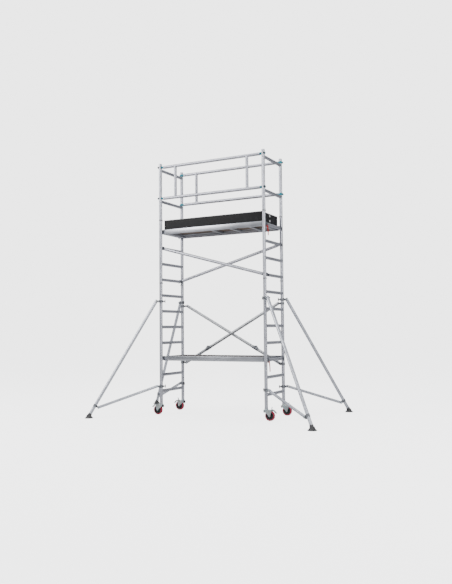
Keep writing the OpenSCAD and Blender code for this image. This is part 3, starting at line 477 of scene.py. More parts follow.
RED_COAT = powder_coat("wind_lock_red", (0.62, 0.022, 0.015), 0.36)
GRIP_BOARD = deck_finish()
TOE_FILM = toe_board_finish(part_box("toe_boards")[1].z)


# ---- Modelling helpers ----

SHARP = 35  # degrees: edges sharper than this are bevelled, or stay crisp in the shading


def deselect():
    if bpy.context.mode != "OBJECT":
        bpy.ops.object.mode_set(mode="OBJECT")
    bpy.ops.object.select_all(action="DESELECT")


def pick(obj):
    deselect()
    obj.select_set(True)
    bpy.context.view_layer.objects.active = obj


def edit(obj, select="SELECT"):
    """Opens a piece in edit mode with all of its mesh selected, or none."""
    pick(obj)
    bpy.ops.object.mode_set(mode="EDIT")
    bpy.ops.mesh.select_all(action=select)


def press(obj):
    """Presses a piece's place, turn and size into its mesh."""
    pick(obj)
    bpy.ops.object.transform_apply(location=True, rotation=True, scale=True)
    return obj


def tidy(obj):
    """Merges a piece's doubles and turns its faces outwards."""
    edit(obj)
    bpy.ops.mesh.remove_doubles(threshold=0.00001)
    bpy.ops.mesh.normals_make_consistent(inside=False)
    bpy.ops.object.mode_set(mode="OBJECT")
    return obj


def round_edges(obj, width, segments=2, angle=SHARP):
    """Bevels every edge sharper than an angle in degrees."""
    pick(obj)
    bevel = obj.modifiers.new("soft_edges", "BEVEL")
    bevel.width = width
    bevel.segments = segments
    bevel.limit_method = "ANGLE"
    bevel.angle_limit = radians(angle)
    bpy.ops.object.modifier_apply(modifier=bevel.name)
    return obj


def drawn_chain(points, close=True):
    """A chain of edges through points, drawn from one vertex by extruding it."""
    deselect()
    bpy.ops.mesh.primitive_plane_add(size=0.01)
    obj = bpy.context.object
    edit(obj)
    bpy.ops.mesh.merge(type="CENTER")
    bpy.ops.transform.translate(value=points[0])
    stops = list(points) + ([points[0]] if close else [])
    for a, b in zip(stops, stops[1:]):
        step = Vector(b) - Vector(a)
        bpy.ops.mesh.extrude_vertices_move(TRANSFORM_OT_translate={"value": step})
    bpy.ops.mesh.select_all(action="SELECT")
    bpy.ops.mesh.remove_doubles(threshold=0.000001)
    return obj


def lathe(outline, steps=40, close=True, angle=2 * pi):
    """Spins an outline of (radius, height) points about the Z axis."""
    obj = drawn_chain([(r, 0, h) for r, h in outline], close)
    bpy.ops.mesh.spin(steps=steps, angle=angle, center=(0, 0, 0), axis=(0, 0, 1))
    bpy.ops.object.mode_set(mode="OBJECT")
    return tidy(obj)


def slab(outline, thickness, bevel, segments=2):
    """Extrudes an outline of (x, z) points along Y, centred, and rounds its edges."""
    obj = drawn_chain([(x, -thickness / 2, z) for x, z in outline])
    bpy.ops.mesh.edge_face_add()
    bpy.ops.mesh.extrude_region_move(TRANSFORM_OT_translate={"value": (0, thickness, 0)})
    bpy.ops.object.mode_set(mode="OBJECT")
    tidy(obj)
    return round_edges(obj, bevel, segments)


def block(size, at=(0, 0, 0), bevel=0.001, segments=2):
    """A box with rounded edges."""
    deselect()
    bpy.ops.mesh.primitive_cube_add(size=1, location=at, scale=size)
    obj = press(bpy.context.object)
    return round_edges(obj, bevel, segments)


def bar(radius, length, at=(0, 0, 0), axis="Z", bevel=0.0006, sides=32):
    """A bar centred on a point, its ends rounded. With six sides it is a hexagon."""
    turn = {"X": (0, pi / 2, 0), "Y": (pi / 2, 0, 0), "Z": (0, 0, 0)}[axis]
    deselect()
    bpy.ops.mesh.primitive_cylinder_add(
        vertices=sides, radius=radius, depth=length, location=at, rotation=turn
    )
    obj = press(bpy.context.object)
    return round_edges(obj, bevel, 2, 20 if sides == 6 else 50)


def turned(obj, axis, angle):
    obj.data.transform(Matrix.Rotation(angle, 4, axis))
    return obj


def moved(obj, at):
    obj.data.transform(Matrix.Translation(at))
    return obj


def fused(*parts):
    """Joins pieces into one."""
    deselect()
    for part in parts:
        part.select_set(True)
    bpy.context.view_layer.objects.active = parts[0]
    if len(parts) > 1:
        bpy.ops.object.join()
    return parts[0]


def copy_at(obj, place):
    """A copy with its own mesh, moved by a matrix."""
    twin = obj.copy()
    twin.data = obj.data.copy()
    twin.data.transform(place)
    bpy.context.scene.collection.objects.link(twin)
    return twin


def many(obj, places):
    """One piece made of a copy at each place; the pattern itself is used up."""
    twins = [copy_at(obj, place) for place in places]
    bpy.data.objects.remove(obj)
    return fused(*twins)


def spots(points):
    """A move to each point."""
    return [Matrix.Translation(point) for point in points]


def round_z(count):
    """Even turns about the Z axis."""
    return [Matrix.Rotation(2 * pi * i / count, 4, "Z") for i in range(count)]


def arc(centre, radius, start, end, steps):
    """Points on an arc, in degrees."""
    angles = [radians(start + (end - start) * i / steps) for i in range(steps + 1)]
    return [(centre[0] + radius * cos(a), centre[1] + radius * sin(a)) for a in angles]


def show(obj, name, body, material, slot, replaced=()):
    """Names, finishes and smooths a piece and fastens it to its body."""
    obj.name = name
    obj.data.name = name
    obj.data.materials.clear()
    obj.data.materials.append(material)
    pick(obj)
    bpy.ops.object.shade_smooth_by_angle(angle=radians(SHARP))
    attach(obj, body)
    if replaced:
        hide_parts(*replaced)


def show_at(corner, place, name, pattern, body, material, slot, node):
    """A copy of a pattern at its corner, in place of that corner's CAD node if it has one."""
    replaced = [f"{node}_{corner}"] if node else []
    show(copy_at(pattern, place), f"{name}_{corner}", f"{body}_{corner}", material, slot, replaced)


def finish_node(name, material):
    """Gives a CAD node that stays visible its finish."""
    obj = frame["nodes"][name]
    obj.data.materials.clear()
    obj.data.materials.append(material)


def corner_place(corner, turn):
    sx, sy, _ = CORNERS[corner]
    return Matrix.Translation((sx * POST_X, sy * POST_Y, 0)) @ Matrix.Rotation(turn, 4, "Z")


def caster_place(corner):
    return corner_place(corner, 0 if CORNERS[corner][0] > 0 else pi)


def stabiliser_place(corner):
    return corner_place(corner, radians(CORNERS[corner][2]))


# ---- Casters, modelled with the swivel axis on the Z axis and the wheel towards +X ----


def hex_bolt(length, at, reach):
    """A bolt along Y, its hexagon head reaching past its shank, with washers, nut and thread."""
    x, y, z = at
    head_t, nut_t, washer_t = 0.007, 0.008, 0.0016
    thread = 0.022
    hexagon = AXLE_R + reach
    head = bar(hexagon, head_t, (x, y - (length + head_t) / 2, z), "Y", sides=6)
    nut = bar(hexagon, nut_t, (x, y + (length + nut_t) / 2, z), "Y", sides=6)
    washers = [
        bar(hexagon + 0.002, washer_t, (x, y + s * (length / 2 + 0.0006), z), "Y")
        for s in (-1, 1)
    ]
    shank = bar(AXLE_R, length + thread, (x, y + 0.002, z), "Y")
    return fused(head, nut, shank, *washers)


def fork_plate():
    """One V-shaped cheek of the fork, with a pressed rib and an eye round the axle."""
    top = CROWN_Z + FORK_T + 0.001
    outline = (
        [(FORK_BACK, CROWN_Z - 0.014), (FORK_BACK, top), (FORK_FRONT, top)]
        + arc((PEDAL_X, PEDAL_Z), 0.011, 150, -20, 8)
        + arc((TRAIL, WHEEL_R), HUB_R, 12, -192, 16)
    )
    plate = slab(outline, FORK_T, 0.0012)
    rib = slab(
        [(-0.006, top - 0.016), (0.058, top - 0.020), (TRAIL + 0.001, WHEEL_R + 0.026),
         (TRAIL - 0.007, WHEEL_R + 0.026)],
        0.0024, 0.0010,
    )
    moved(rib, (0.004, FORK_T / 2 + 0.0004, 0))
    bore = AXLE_R + 0.0005
    eye = lathe([(bore, 0), (2 * AXLE_R, 0), (2 * AXLE_R, 0.0016), (bore, 0.0016)], 28)
    turned(eye, "X", -pi / 2)
    moved(eye, (TRAIL, FORK_T / 2, WHEEL_R))
    return fused(plate, rib, eye)


def fork():
    """Two cheeks, the crown plate and the cup of the swivel bearing."""
    side = FORK_IN + FORK_T / 2
    plate = fork_plate()
    near = copy_at(plate, Matrix.Translation((0, side, 0)))
    far = copy_at(plate, Matrix.Translation((0, -side, 0)) @ Matrix.Scale(-1, 4, (0, 1, 0)))
    bpy.data.objects.remove(plate)
    tidy(far)
    crown_t = 0.005
    crown = block(
        (FORK_FRONT - FORK_BACK, 2 * FORK_IN + 0.002, crown_t),
        ((FORK_FRONT + FORK_BACK) / 2, 0, CROWN_Z + crown_t / 2),
        0.001,
    )
    z = CROWN_Z + crown_t - 0.0005
    top = FLANGE_Z - 0.0003
    bore = 0.0065
    cup = lathe(
        [(bore, z), (RACE_R, z), (RACE_R + 0.0006, z + 0.004), (RACE_R - 0.002, z + 0.005),
         (RACE_R - 0.002, z + 0.007), (RACE_R, z + 0.008), (RACE_R - 0.0015, top), (bore, top)],
        48,
    )
    return fused(near, far, crown, cup)


def tyre():
    """Tyre with a crowned tread and rounded shoulders."""
    half = TREAD_W / 2
    inner = RIM_R + CLEAR
    shoulder_r = 0.007
    shoulder_at = WHEEL_R - shoulder_r - 0.0005
    side = [(inner, -half + 0.002), (inner + 0.004, -half), (shoulder_at, -half)]
    shoulder = arc((shoulder_at, -half + shoulder_r), shoulder_r, -90, -12, 6)
    crown = [(WHEEL_R - 0.0004, -half + 0.011), (WHEEL_R, -0.0012), (WHEEL_R, 0.0)]
    lower = side + shoulder + crown
    outline = lower + [(r, -h) for r, h in reversed(lower[:-1])]
    ring = lathe(outline, 72)
    turned(ring, "X", pi / 2)
    return moved(ring, (TRAIL, 0, WHEEL_R))


def wheel_core():
    """Moulded core: rim, dished web, ten ribs each side and the hub."""
    half = TREAD_W / 2 - 0.002
    hub_half = HUB_W / 2
    rim_in = RIM_R - 0.008
    web = 0.006
    lower = [
        (AXLE_R + 0.0006, -hub_half), (HUB_R - 0.001, -hub_half), (HUB_R, -hub_half + 0.001),
        (HUB_R + 0.003, -web - 0.001), (HUB_R + 0.006, -web), (rim_in - 0.005, -web),
        (rim_in - 0.001, -web - 0.003), (rim_in, -half + 0.001), (rim_in + 0.001, -half),
        (RIM_R - 0.001, -half), (RIM_R, -half + 0.001),
    ]
    outline = lower + [(r, -h) for r, h in reversed(lower)]
    body = lathe(outline, 72)
    length = rim_in - HUB_R
    rib = block((length, 0.004, 2 * (half - 0.004)), (HUB_R + length / 2 - 0.0005, 0, 0), 0.0012)
    core = fused(body, many(rib, round_z(10)))
    turned(core, "X", pi / 2)
    return moved(core, (TRAIL, 0, WHEEL_R))


def brake_pedal():
    """Pedal with a ridged, sloping toe pad and its upright release tab."""
    x, z = PEDAL_X, PEDAL_Z
    outline = arc((x, z), 0.009, 90, 250, 10) + [
        (x + 0.004, z - 0.0070), (x + 0.030, z - 0.0060), (x + 0.038, z - 0.0125),
        (x + 0.072, z - 0.0455), (x + 0.0775, z - 0.0450), (x + 0.079, z - 0.0400),
        (x + 0.044, z - 0.0045), (x + 0.036, z + 0.0030), (x + 0.020, z + 0.0066),
    ]
    lever = slab(outline, 0.036, 0.0018, 3)
    ridge = block((0.0035, 0.030, 0.0022), bevel=0.0008)
    turned(ridge, "Y", atan2(0.0375, 0.040))
    steps = [(x + 0.047 + 0.0065 * i, 0, z - 0.0068 - 0.0061 * i) for i in range(5)]
    ridges = many(ridge, spots(steps))
    tab = block((0.006, 0.018, 0.040), (0, 0, 0.022), 0.0018, 3)
    lip = block((0.011, 0.020, 0.006), (0.0035, 0, 0.0415), 0.0020, 3)
    upright = fused(tab, lip)
    turned(upright, "Y", radians(8))
    moved(upright, (x, 0, z))
    return fused(lever, ridges, upright)


def swivel_lock():
    """Cam block of the total lock, under the back of the crown plate."""
    back = -RACE_R - 0.018
    top = CROWN_Z - 0.0002
    outline = [
        (back, CROWN_Z - 0.004), (back + 0.004, top), (back + 0.030, top),
        (back + 0.032, CROWN_Z - 0.010), (back + 0.022, CROWN_Z - 0.034),
        (back + 0.012, CROWN_Z - 0.040), (back + 0.003, CROWN_Z - 0.028),
    ]
    return slab(outline, 0.024, 0.002, 3)


def make_casters():
    fork_pattern = fork()
    fork_out = FORK_IN + FORK_T
    axle_pattern = hex_bolt(2 * fork_out, (TRAIL, 0, WHEEL_R), 0.0045)
    pin = bar(0.004, 2 * fork_out + 0.004, (PEDAL_X, 0, PEDAL_Z), "Y")
    pin_heads = [
        bar(0.006, 0.0026, (PEDAL_X, s * (fork_out + 0.0014), PEDAL_Z), "Y", 0.001)
        for s in (-1, 1)
    ]
    bolt_pattern = fused(axle_pattern, pin, *pin_heads)
    inner, outer = AXLE_R + 0.0002, 0.0125
    cap = lathe([(inner, 0.0), (outer, 0.0), (outer, 0.0006), (0.009, 0.0009), (inner, 0.0009)], 32)
    turned(cap, "X", -pi / 2)
    moved(cap, (0, HUB_W / 2 - 0.0002, 0))
    caps = moved(many(cap, round_z(2)), (TRAIL, 0, WHEEL_R))
    patterns = {
        "fork": (fork_pattern, "caster", ZINC, "zinc_steel", "caster_fork"),
        "axle_and_pins": (bolt_pattern, "caster", ZINC, "zinc_steel", None),
        "swivel_lock": (swivel_lock(), "caster", BLACK_COAT, "brake_black", None),
        "tyre": (tyre(), "wheel", TYRE, "red_tread", "caster_tread"),
        "wheel_core": (wheel_core(), "wheel", NYLON, "black_core", "caster_core"),
        "hub_caps": (caps, "wheel", ZINC, "zinc_steel", None),
        "pedal": (brake_pedal(), "pedal", None, None, "brake_pedal"),
    }
    for corner in CORNERS:
        place = caster_place(corner)
        black = "left" in corner
        for name, (pattern, body, material, slot, node) in patterns.items():
            material = material or (BLACK_COAT if black else GREY_COAT)
            slot = slot or ("brake_black" if black else "brake_grey")
            show_at(corner, place, name, pattern, body, material, slot, node)
    for pattern, *_ in patterns.values():
        bpy.data.objects.remove(pattern)
    finish_node("caster_stems", ZINC)


# ---- Stabilisers, modelled with the post on the Z axis and the leg towards +X ----


def coupler_ring(inner, height):
    """A clamp ring with rounded rims and a shallow waist."""
    half = height / 2
    outer = inner + COUPLER_WALL
    waist = outer - 0.0012
    lower = [
        (inner, -half), (outer - 0.002, -half), (outer, -half + 0.002), (outer, -half + 0.010),
        (waist, -half + 0.0115),
    ]
    return lathe(lower + [(r, -h) for r, h in reversed(lower)], 48)


def ear_span(diameter):
    """From outside to outside of two ears that hold a tube of this diameter."""
    return diameter + 2 * (EAR_T + EAR_GAP)


def cheek_pair(out, start, diameter, height):
    """Two ears that hold a pivot bolt."""
    half = height / 2
    outline = [(start, -half), (start, half), *arc((out, 0), half, 90, -90, 12)]
    aside = (diameter + EAR_T) / 2 + EAR_GAP
    return [moved(slab(outline, EAR_T, 0.0014), (0, s * aside, 0)) for s in (-1, 1)]


def saddle(outer, sunk, proud, half, diameter, bevel):
    """Block between a ring and its ears, sunk a little into the ring."""
    outline = [
        (outer - sunk, -half), (outer + proud, -half), (outer + proud, half), (outer - sunk, half),
    ]
    return slab(outline, ear_span(diameter), bevel)


def pivot_bolt(out, diameter):
    return hex_bolt(ear_span(diameter), (out, 0, 0), 0.004)


def wing_knob(at_x):
    """Moulded two-winged handle of a clamp screw, pointing towards -X."""
    hub = lathe(
        [(0.0, 0.0), (0.011, 0.0), (0.012, 0.002), (0.0105, 0.016), (0.008, 0.019), (0.0, 0.020)], 28,
        close=False,
    )
    turned(hub, "Y", -pi / 2)
    moved(hub, (0.018, 0, 0))
    wing = slab(
        [(0.002, 0.004), (0.014, 0.004), (0.013, 0.016), (0.010, 0.0245), (0.004, 0.0278),
         (-0.001, 0.0252), (0.000, 0.015)],
        0.0075, 0.0022, 3,
    )
    other = copy_at(wing, Matrix.Rotation(pi, 4, "X"))
    return moved(fused(hub, wing, other), (at_x, 0, 0))


def post_coupler(diameter, z):
    """Castings, steel and handle of one coupler on a post."""
    outer = POST_R + COUPLER_WALL
    ear_h = 0.032
    ring = coupler_ring(POST_R + 0.00008, COUPLER_H)
    seat = saddle(outer, 0.004, 0.006, ear_h / 2, diameter, 0.0015)
    boss = bar(0.013, 0.019, (-outer - 0.0055, 0, 0), "X", 0.002)
    castings = fused(ring, seat, boss, *cheek_pair(PIVOT_R, outer + 0.002, diameter, ear_h))
    screw = bar(0.005, 0.030, (-outer - 0.020, 0, 0), "X")
    steel = fused(pivot_bolt(PIVOT_R, diameter), screw)
    knob = wing_knob(-outer - 0.040)
    return [moved(part, (0, 0, z)) for part in (castings, steel, knob)]


def on_leg(obj, x, z):
    """Puts a piece on the leg's axis at a height, its own Z pointing down the leg."""
    obj.data.transform(Matrix.Translation((x, 0, z)) @ Matrix.Rotation(pi - LEG_TILT, 4, "Y"))
    return obj


def leg_clamp():
    """Ring on the leg with the ears that take the arm's end."""
    outer = LEG_R + COUPLER_WALL
    ear_h = 0.028
    ring = coupler_ring(LEG_R + CLEAR, 0.040)
    seat = saddle(outer, 0.004, 0.003, ear_h / 2, 2 * ARM_R, 0.0012)
    castings = fused(ring, seat, *cheek_pair(EAR_REACH, outer, 2 * ARM_R, ear_h))
    steel = pivot_bolt(EAR_REACH, 2 * ARM_R)
    return [on_leg(part, CLAMP_X, STAB_CLAMP) for part in (castings, steel)]


def rubber_foot():
    """Flared foot with a stepped rim, eight gussets and the tilted socket for the leg."""
    low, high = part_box("stabiliser_foot_front_left")
    radius = (high.x - low.x) / 2
    bore = LEG_R + 0.0001
    socket = LEG_R + 0.005
    cone = lathe(
        [(0.0, 0.0), (radius - 0.006, 0.0), (radius - 0.002, 0.0015), (radius - 0.0002, 0.005),
         (radius - 0.002, 0.0085), (radius - 0.010, 0.0105), (radius - 0.013, 0.0130),
         (0.0465, 0.0200), (0.0390, 0.0300), (0.0340, 0.0420), (0.0310, 0.0540), (0.0, 0.0540)],
        56, close=False,
    )
    gusset = slab(
        [(0.026, 0.010), (0.055, 0.010), (0.0545, 0.0145), (0.0440, 0.0260), (0.0350, 0.0460),
         (0.028, 0.0500)],
        0.005, 0.0012,
    )
    foot = moved(fused(cone, many(gusset, round_z(8))), (STAB_REACH, 0, 0))
    top = LEG_LENGTH - 0.044
    collar = lathe(
        [(bore, top), (socket - 0.0015, top), (socket, top + 0.0015), (socket, top + 0.008),
         (socket - 0.001, top + 0.0095), (socket, top + 0.011), (socket, LEG_LENGTH),
         (bore, LEG_LENGTH)]
    )
    return fused(foot, on_leg(collar, PIVOT_R, STAB_TOP))


def leg_cap():
    """Plastic plug in the top end of the leg."""
    plug = lathe(
        [(0.0, -0.0245), (0.012, -0.0245), (0.0225, -0.0225), (0.0235, -0.0205), (0.0215, -0.0198),
         (0.0215, -0.012), (0.0, -0.012)],
        36, close=False,
    )
    return on_leg(plug, PIVOT_R, STAB_TOP)


def make_stabilisers():
    top = post_coupler(2 * LEG_R, STAB_TOP)
    low = post_coupler(2 * ARM_R, STAB_LOW)
    clamp_castings, clamp_steel = leg_clamp()
    patterns = {
        "couplers": (fused(top[0], low[0], clamp_castings), CAST_ALLOY, "cast_fittings",
                     "stabiliser_couplers"),
        "coupler_bolts": (fused(top[1], low[1], clamp_steel), ZINC, "zinc_steel", None),
        "wing_knobs": (fused(top[2], low[2]), KNOB_PLASTIC, "dark_clip", None),
        "foot": (rubber_foot(), RUBBER, "rubber_foot", "stabiliser_foot"),
        "leg_plug": (leg_cap(), CLIP_PLASTIC, "dark_clip", None),
    }
    for corner in CORNERS:
        place = stabiliser_place(corner)
        for name, (pattern, material, slot, node) in patterns.items():
            show_at(corner, place, name, pattern, "stabiliser", material, slot, node)
        finish_node(f"stabiliser_leg_{corner}", LEG_ALLOY)
        finish_node(f"stabiliser_arm_{corner}", LEG_ALLOY)
    for pattern, *_ in patterns.values():
        bpy.data.objects.remove(pattern)


# ---- End frames ----


def bead_along(points, radius):
    """A round bead along a closed run of points."""
    drawn_chain(points)
    bpy.ops.object.mode_set(mode="OBJECT")
    bpy.ops.object.convert(target="CURVE")
    run = bpy.context.object.data
    run.bevel_depth = radius
    run.bevel_resolution = 1
    bpy.ops.object.convert(target="MESH")
    return tidy(bpy.context.object)


def rippled_ring(radius, steps):
    """Points round a circle, every second one a little further out."""
    turns = [2 * pi * i / steps for i in range(steps)]
    radii = [radius + 0.0003 * (i % 2) for i in range(steps)]
    return [(r * cos(turn), r * sin(turn)) for r, turn in zip(radii, turns)]


def bulge(radius, across):
    """How far a round tube falls back beside its highest line."""
    return radius - sqrt(radius**2 - across**2)


def rung_weld():
    """A rippled bead round a rung along Y, following the round side of the post towards +Y."""
    ring = rippled_ring(RUNG_R - 0.0009, 36)
    return bead_along([(x, bulge(POST_R, x) - 0.0007, z) for x, z in ring], 0.0015)


def make_frames():
    bead = moved(rung_weld(), (0, POST_Y - POST_R, 0))
    frames = {"base": BASE_RUNGS, "extension": EXTENSION_RUNGS, "guard": GUARD_BARS}
    for name, rungs in frames.items():
        for side, sx in SIDES.items():
            finish_node(f"{name}_frame_{side}", FRAME_ALLOY)
            middles = spots((sx * POST_X, 0, rung_z(n)) for n in rungs)
            beads = fused(*[copy_at(bead, place @ turn) for place in middles for turn in round_z(2)])
            show(beads, f"{name}_welds_{side}", "tower", WELD_ALLOY, "aluminium_frame")
    bpy.data.objects.remove(bead)
    finish_node("spigots", FRAME_ALLOY)


def interlock_clip():
    """Sprung collar with rolled ends, open towards -Y, and the round head of its pin."""
    inner = POST_R + CLEAR
    outer = inner + 0.0039
    half = 0.011
    wrap = 250
    collar = lathe(
        [(inner, -half), (outer - 0.001, -half), (outer, -half + 0.001), (outer, half - 0.001),
         (outer - 0.001, half), (inner, half)],
        40, angle=radians(wrap),
    )
    # The two cut ends are open, so each gets a face
    edit(collar, "DESELECT")
    bpy.ops.mesh.select_non_manifold()
    bpy.ops.mesh.edge_face_add()
    bpy.ops.object.mode_set(mode="OBJECT")
    tidy(collar)
    turned(collar, "Z", radians(90 - wrap / 2))
    ends = arc((0, 0), outer + 0.0002, 90 - wrap / 2, 90 + wrap / 2, 1)
    lips = [moved(bar(0.0035, 2 * half, bevel=0.001, sides=16), (x, y, 0)) for x, y in ends]
    knob = lathe(
        [(0.0, 0.0), (0.0085, 0.0), (0.009, 0.001), (0.009, 0.0055), (0.0075, 0.0075),
         (0.0, 0.0080)],
        28, close=False,
    )
    turned(knob, "X", -pi / 2)
    moved(knob, (0, outer, 0))
    return fused(collar, *lips), knob


def make_clips():
    collar, pin = interlock_clip()
    places = [
        corner_place(corner, 0 if sy > 0 else pi) @ Matrix.Translation((0, 0, z + CLIP_RISE))
        for corner, (_, sy, _) in CORNERS.items() for z in (LOW_JOINT, HIGH_JOINT)
    ]
    collars = many(collar, places)
    show(collars, "interlock_collars", "tower", COLLAR_PLASTIC, "dark_clip", ["interlock_clips"])
    show(many(pin, places), "interlock_pin_heads", "tower", CLIP_PLASTIC, "dark_clip")


# ---- Claws and triggers, modelled at the origin with their tube towards +X ----


def claw_boss(claw_r, tilt=0.0, shift=0.0):
    """Turned boss that carries a tube, its plug sunk in the tube's end."""
    start = claw_r - 0.006
    end = claw_r + BOSS_L
    wall = 0.002
    plug = RAIL_R - wall - CLEAR
    waist = BOSS_R - 0.0018
    boss = lathe(
        [(0.0, start), (waist, start), (waist, end - 0.014), (BOSS_R, end - 0.011),
         (BOSS_R, end - 0.003), (BOSS_R - 0.001, end - 0.002), (plug, end - 0.002),
         (plug, end + 0.012), (0.0, end + 0.012)],
        40, close=False,
    )
    turned(boss, "Y", pi / 2 + tilt)
    return moved(boss, (0, shift, 0))


def post_claw():
    """Claw round a post, its mouth towards -Y, and the boss of the rail set to the other side."""
    slot = POST_R + MOUTH_GAP
    tip = -0.0242
    cheek = -0.0130
    outline = (
        [(slot, tip), (slot + 0.0050, tip), (POST_CLAW_R, cheek)]
        + arc((0, 0), POST_CLAW_R, 0, 180, 28)
        + [(-POST_CLAW_R, cheek), (-slot - 0.0050, tip), (-slot, tip)]
        + arc((0, 0), slot, 180, 0, 24)
    )
    ring = turned(slab(outline, CLAW_W, 0.0022, 3), "X", -pi / 2)
    band_r = POST_CLAW_R + 0.0009
    band_outline = arc((0, 0), band_r, -14, 194, 28) + arc((0, 0), slot + 0.004, 194, -14, 24)
    band = turned(slab(band_outline, 0.011, 0.0008), "X", -pi / 2)
    root, end = 0.020, POST_CLAW_R + 0.010
    web = slab([(root, 0.0140), (end, 0.0165), (end, -0.0165), (root, -0.0140)], 0.026, 0.0020)
    moved(web, (0, RAIL_INSET, 0))
    return fused(ring, band, web, claw_boss(POST_CLAW_R, shift=RAIL_INSET))


def rung_claw(tilt):
    """Claw over a rung along Y, with the boss of a sloping diagonal."""
    mouth = -0.028
    slot = RUNG_R + MOUTH_GAP
    r = RUNG_CLAW_R
    outline = (
        [(-slot, mouth), (-r + 0.001, mouth), (-r, mouth + 0.003), (-r, 0)]
        + arc((0, 0), r, 172, 8, 20)
        + [(r, 0), (r, mouth + 0.003), (r - 0.001, mouth), (slot, mouth)]
        + arc((0, 0), slot, 0, 180, 18)
    )
    hook = slab(outline, CLAW_W, 0.0022, 3)
    flange = slab(
        arc((0, 0), r + 0.0009, 165, 15, 16) + arc((0, 0), slot + 0.003, 15, 165, 16),
        0.012, 0.0008,
    )
    return fused(hook, flange, claw_boss(r, tilt))


def post_trigger():
    """Sprung arm round the claw's outer side, its ribbed finger across the mouth."""
    back = POST_CLAW_R + 0.0012
    out = POST_CLAW_R + 0.0060
    near = POST_R + 0.0012
    far = POST_R + 0.0068
    outline = [
        (-back, 0.0076), (-out + 0.0010, 0.0078), (-out, 0.0060), (-out, -far + 0.0050),
        (-out + 0.0040, -far), (-0.0080, -far), (-0.0062, -far + 0.0014), (-0.0066, -near - 0.0006),
        (-0.0100, -near), (-back + 0.0040, -near), (-back, -near + 0.0040),
    ]
    arm = turned(slab(outline, TRIGGER_W, 0.0010), "X", -pi / 2)
    ridge = bar(0.0011, 0.015, bevel=0.0003, sides=12)
    ridges = many(ridge, spots((-0.012 - 0.005 * i, -far + 0.0004, 0) for i in range(4)))
    rivet = bar(0.0030, 0.0185, (-out + 0.0026, 0.0020, 0), "Z", 0.0008, 20)
    return fused(arm, ridges, rivet)


def rung_trigger():
    """Sprung latch on a rung claw's outer side, with a finger tab at its foot."""
    x = -RUNG_CLAW_R
    outline = [
        (x - 0.0005, 0.0130), (x - 0.0068, 0.0120), (x - 0.0080, 0.0060), (x - 0.0078, -0.0140),
        (x - 0.0080, -0.0205), (x - 0.0030, -0.0210), (x - 0.0022, -0.0150), (x - 0.0005, -0.0100),
    ]
    latch = slab(outline, TRIGGER_W - 0.002, 0.0010)
    rivet = bar(0.0030, 0.0160, (x - 0.0040, 0, 0.0070), "Y", 0.0006, 16)
    return fused(latch, rivet)


def at_tube_end(sx, y, z):
    """The place on an end frame's axis where a claw's tube points to the middle of the bay."""
    turn = pi if sx > 0 else 0
    return Matrix.Translation((sx * POST_X, y, z)) @ Matrix.Rotation(turn, 4, "Z")


def rail_ends():
    """Places of the claws that fasten the guardrails, mirrored where the rail lies the other way."""
    for sx in (-1, 1):
        for sy in (-1, 1):
            mirror = Matrix.Scale(-1, 4, (0, 1, 0)) if sx * sy < 0 else Matrix.Identity(4)
            for n in GUARD_BARS:
                yield at_tube_end(sx, sy * POST_Y, rung_z(n) + RAIL_RISE) @ mirror


def diagonal_ends(high):
    """Places of the claws at the diagonals' upper or lower ends."""
    n = DIAGONAL_HIGH_RUNG if high else DIAGONAL_LOW_RUNG
    for sx in (-1, 1):
        sy = sx if high else -sx
        yield at_tube_end(sx, sy * DIAGONAL_Y, rung_z(n))


def make_claws():
    claws = tidy(many(post_claw(), rail_ends()))
    show(claws, "rail_claw_set", "tower", TEAL_COAT, "teal_claw", ["rail_claws"])
    latches = [many(rung_trigger(), diagonal_ends(high)) for high in (True, False)]
    triggers = fused(tidy(many(post_trigger(), rail_ends())), *latches)
    show(triggers, "trigger_set", "tower", CLIP_PLASTIC, "dark_clip", ["claw_triggers"])
    for node in ("upper_diagonals", "front_guardrail", "rear_guardrail"):
        finish_node(node, RAIL_ALLOY)
    rivet = bar(0.0036, 2 * RAIL_R + 0.0026, axis="Y", bevel=0.0012, sides=20)
    first_x = POST_CLAW_R + BOSS_L + 0.016
    pair = many(rivet, spots((x, RAIL_INSET, 0) for x in (first_x, first_x + 0.026)))
    rivets = tidy(many(pair, rail_ends()))
    show(rivets, "rail_rivets", "tower", ZINC, "zinc_steel")


def rail_weld():
    """A rippled bead where an upright meets the underside of a rail along X."""
    ring = rippled_ring(UPRIGHT_R + 0.0004, 32)
    return bead_along([(x, y, bulge(RAIL_R, y) - RAIL_R - 0.0005) for x, y in ring], 0.0018)


def make_rail_welds():
    """Beads below the top rail and, upside down, above the knee rail."""
    knee, top = (rung_z(n) + RAIL_RISE for n in GUARD_BARS)
    over = Matrix.Rotation(pi, 4, "X")
    for name, sy in (("front", -1), ("rear", 1)):
        places = []
        for sx in (-1, 1):
            x = sx * (POST_X - UPRIGHT_INSET[name])
            places.append(Matrix.Translation((x, sy * RAIL_Y, top)))
            places.append(Matrix.Translation((x, sy * RAIL_Y, knee)) @ over)
        beads = many(rail_weld(), places)
        show(beads, f"{name}_guardrail_welds", "tower", WELD_ALLOY, "aluminium_tube")


# ---- Platforms ----


def platform_hook():
    """Cast hook over a rung with a stiffening rib and the lug that is riveted to its beam."""
    radius = RUNG_R + 0.012
    slot = RUNG_R + MOUTH_GAP
    end = POST_X - PLATFORM_X - CLEAR
    outline = (
        [(-slot, -BEAM_BELOW), (-radius, -BEAM_BELOW), (-radius, 0)]
        + arc((0, 0), radius, 172, 90, 8)
        + [(0.006, radius + 0.002), (0.012, BEAM_ABOVE - 0.002), (0.016, BEAM_ABOVE)]
        + [(end, BEAM_ABOVE), (end, -BEAM_BELOW), (slot, -BEAM_BELOW)]
        + arc((0, 0), slot, 0, 180, 16)[:-1]
    )
    hook = slab(outline, BEAM_W - 0.002, 0.0022, 3)
    outer_rib = slab(
        arc((0, 0), radius - 0.002, 178, 92, 8) + arc((0, 0), slot + 0.003, 92, 178, 8),
        BEAM_W + 0.0002, 0.0006,
    )
    return fused(hook, outer_rib)


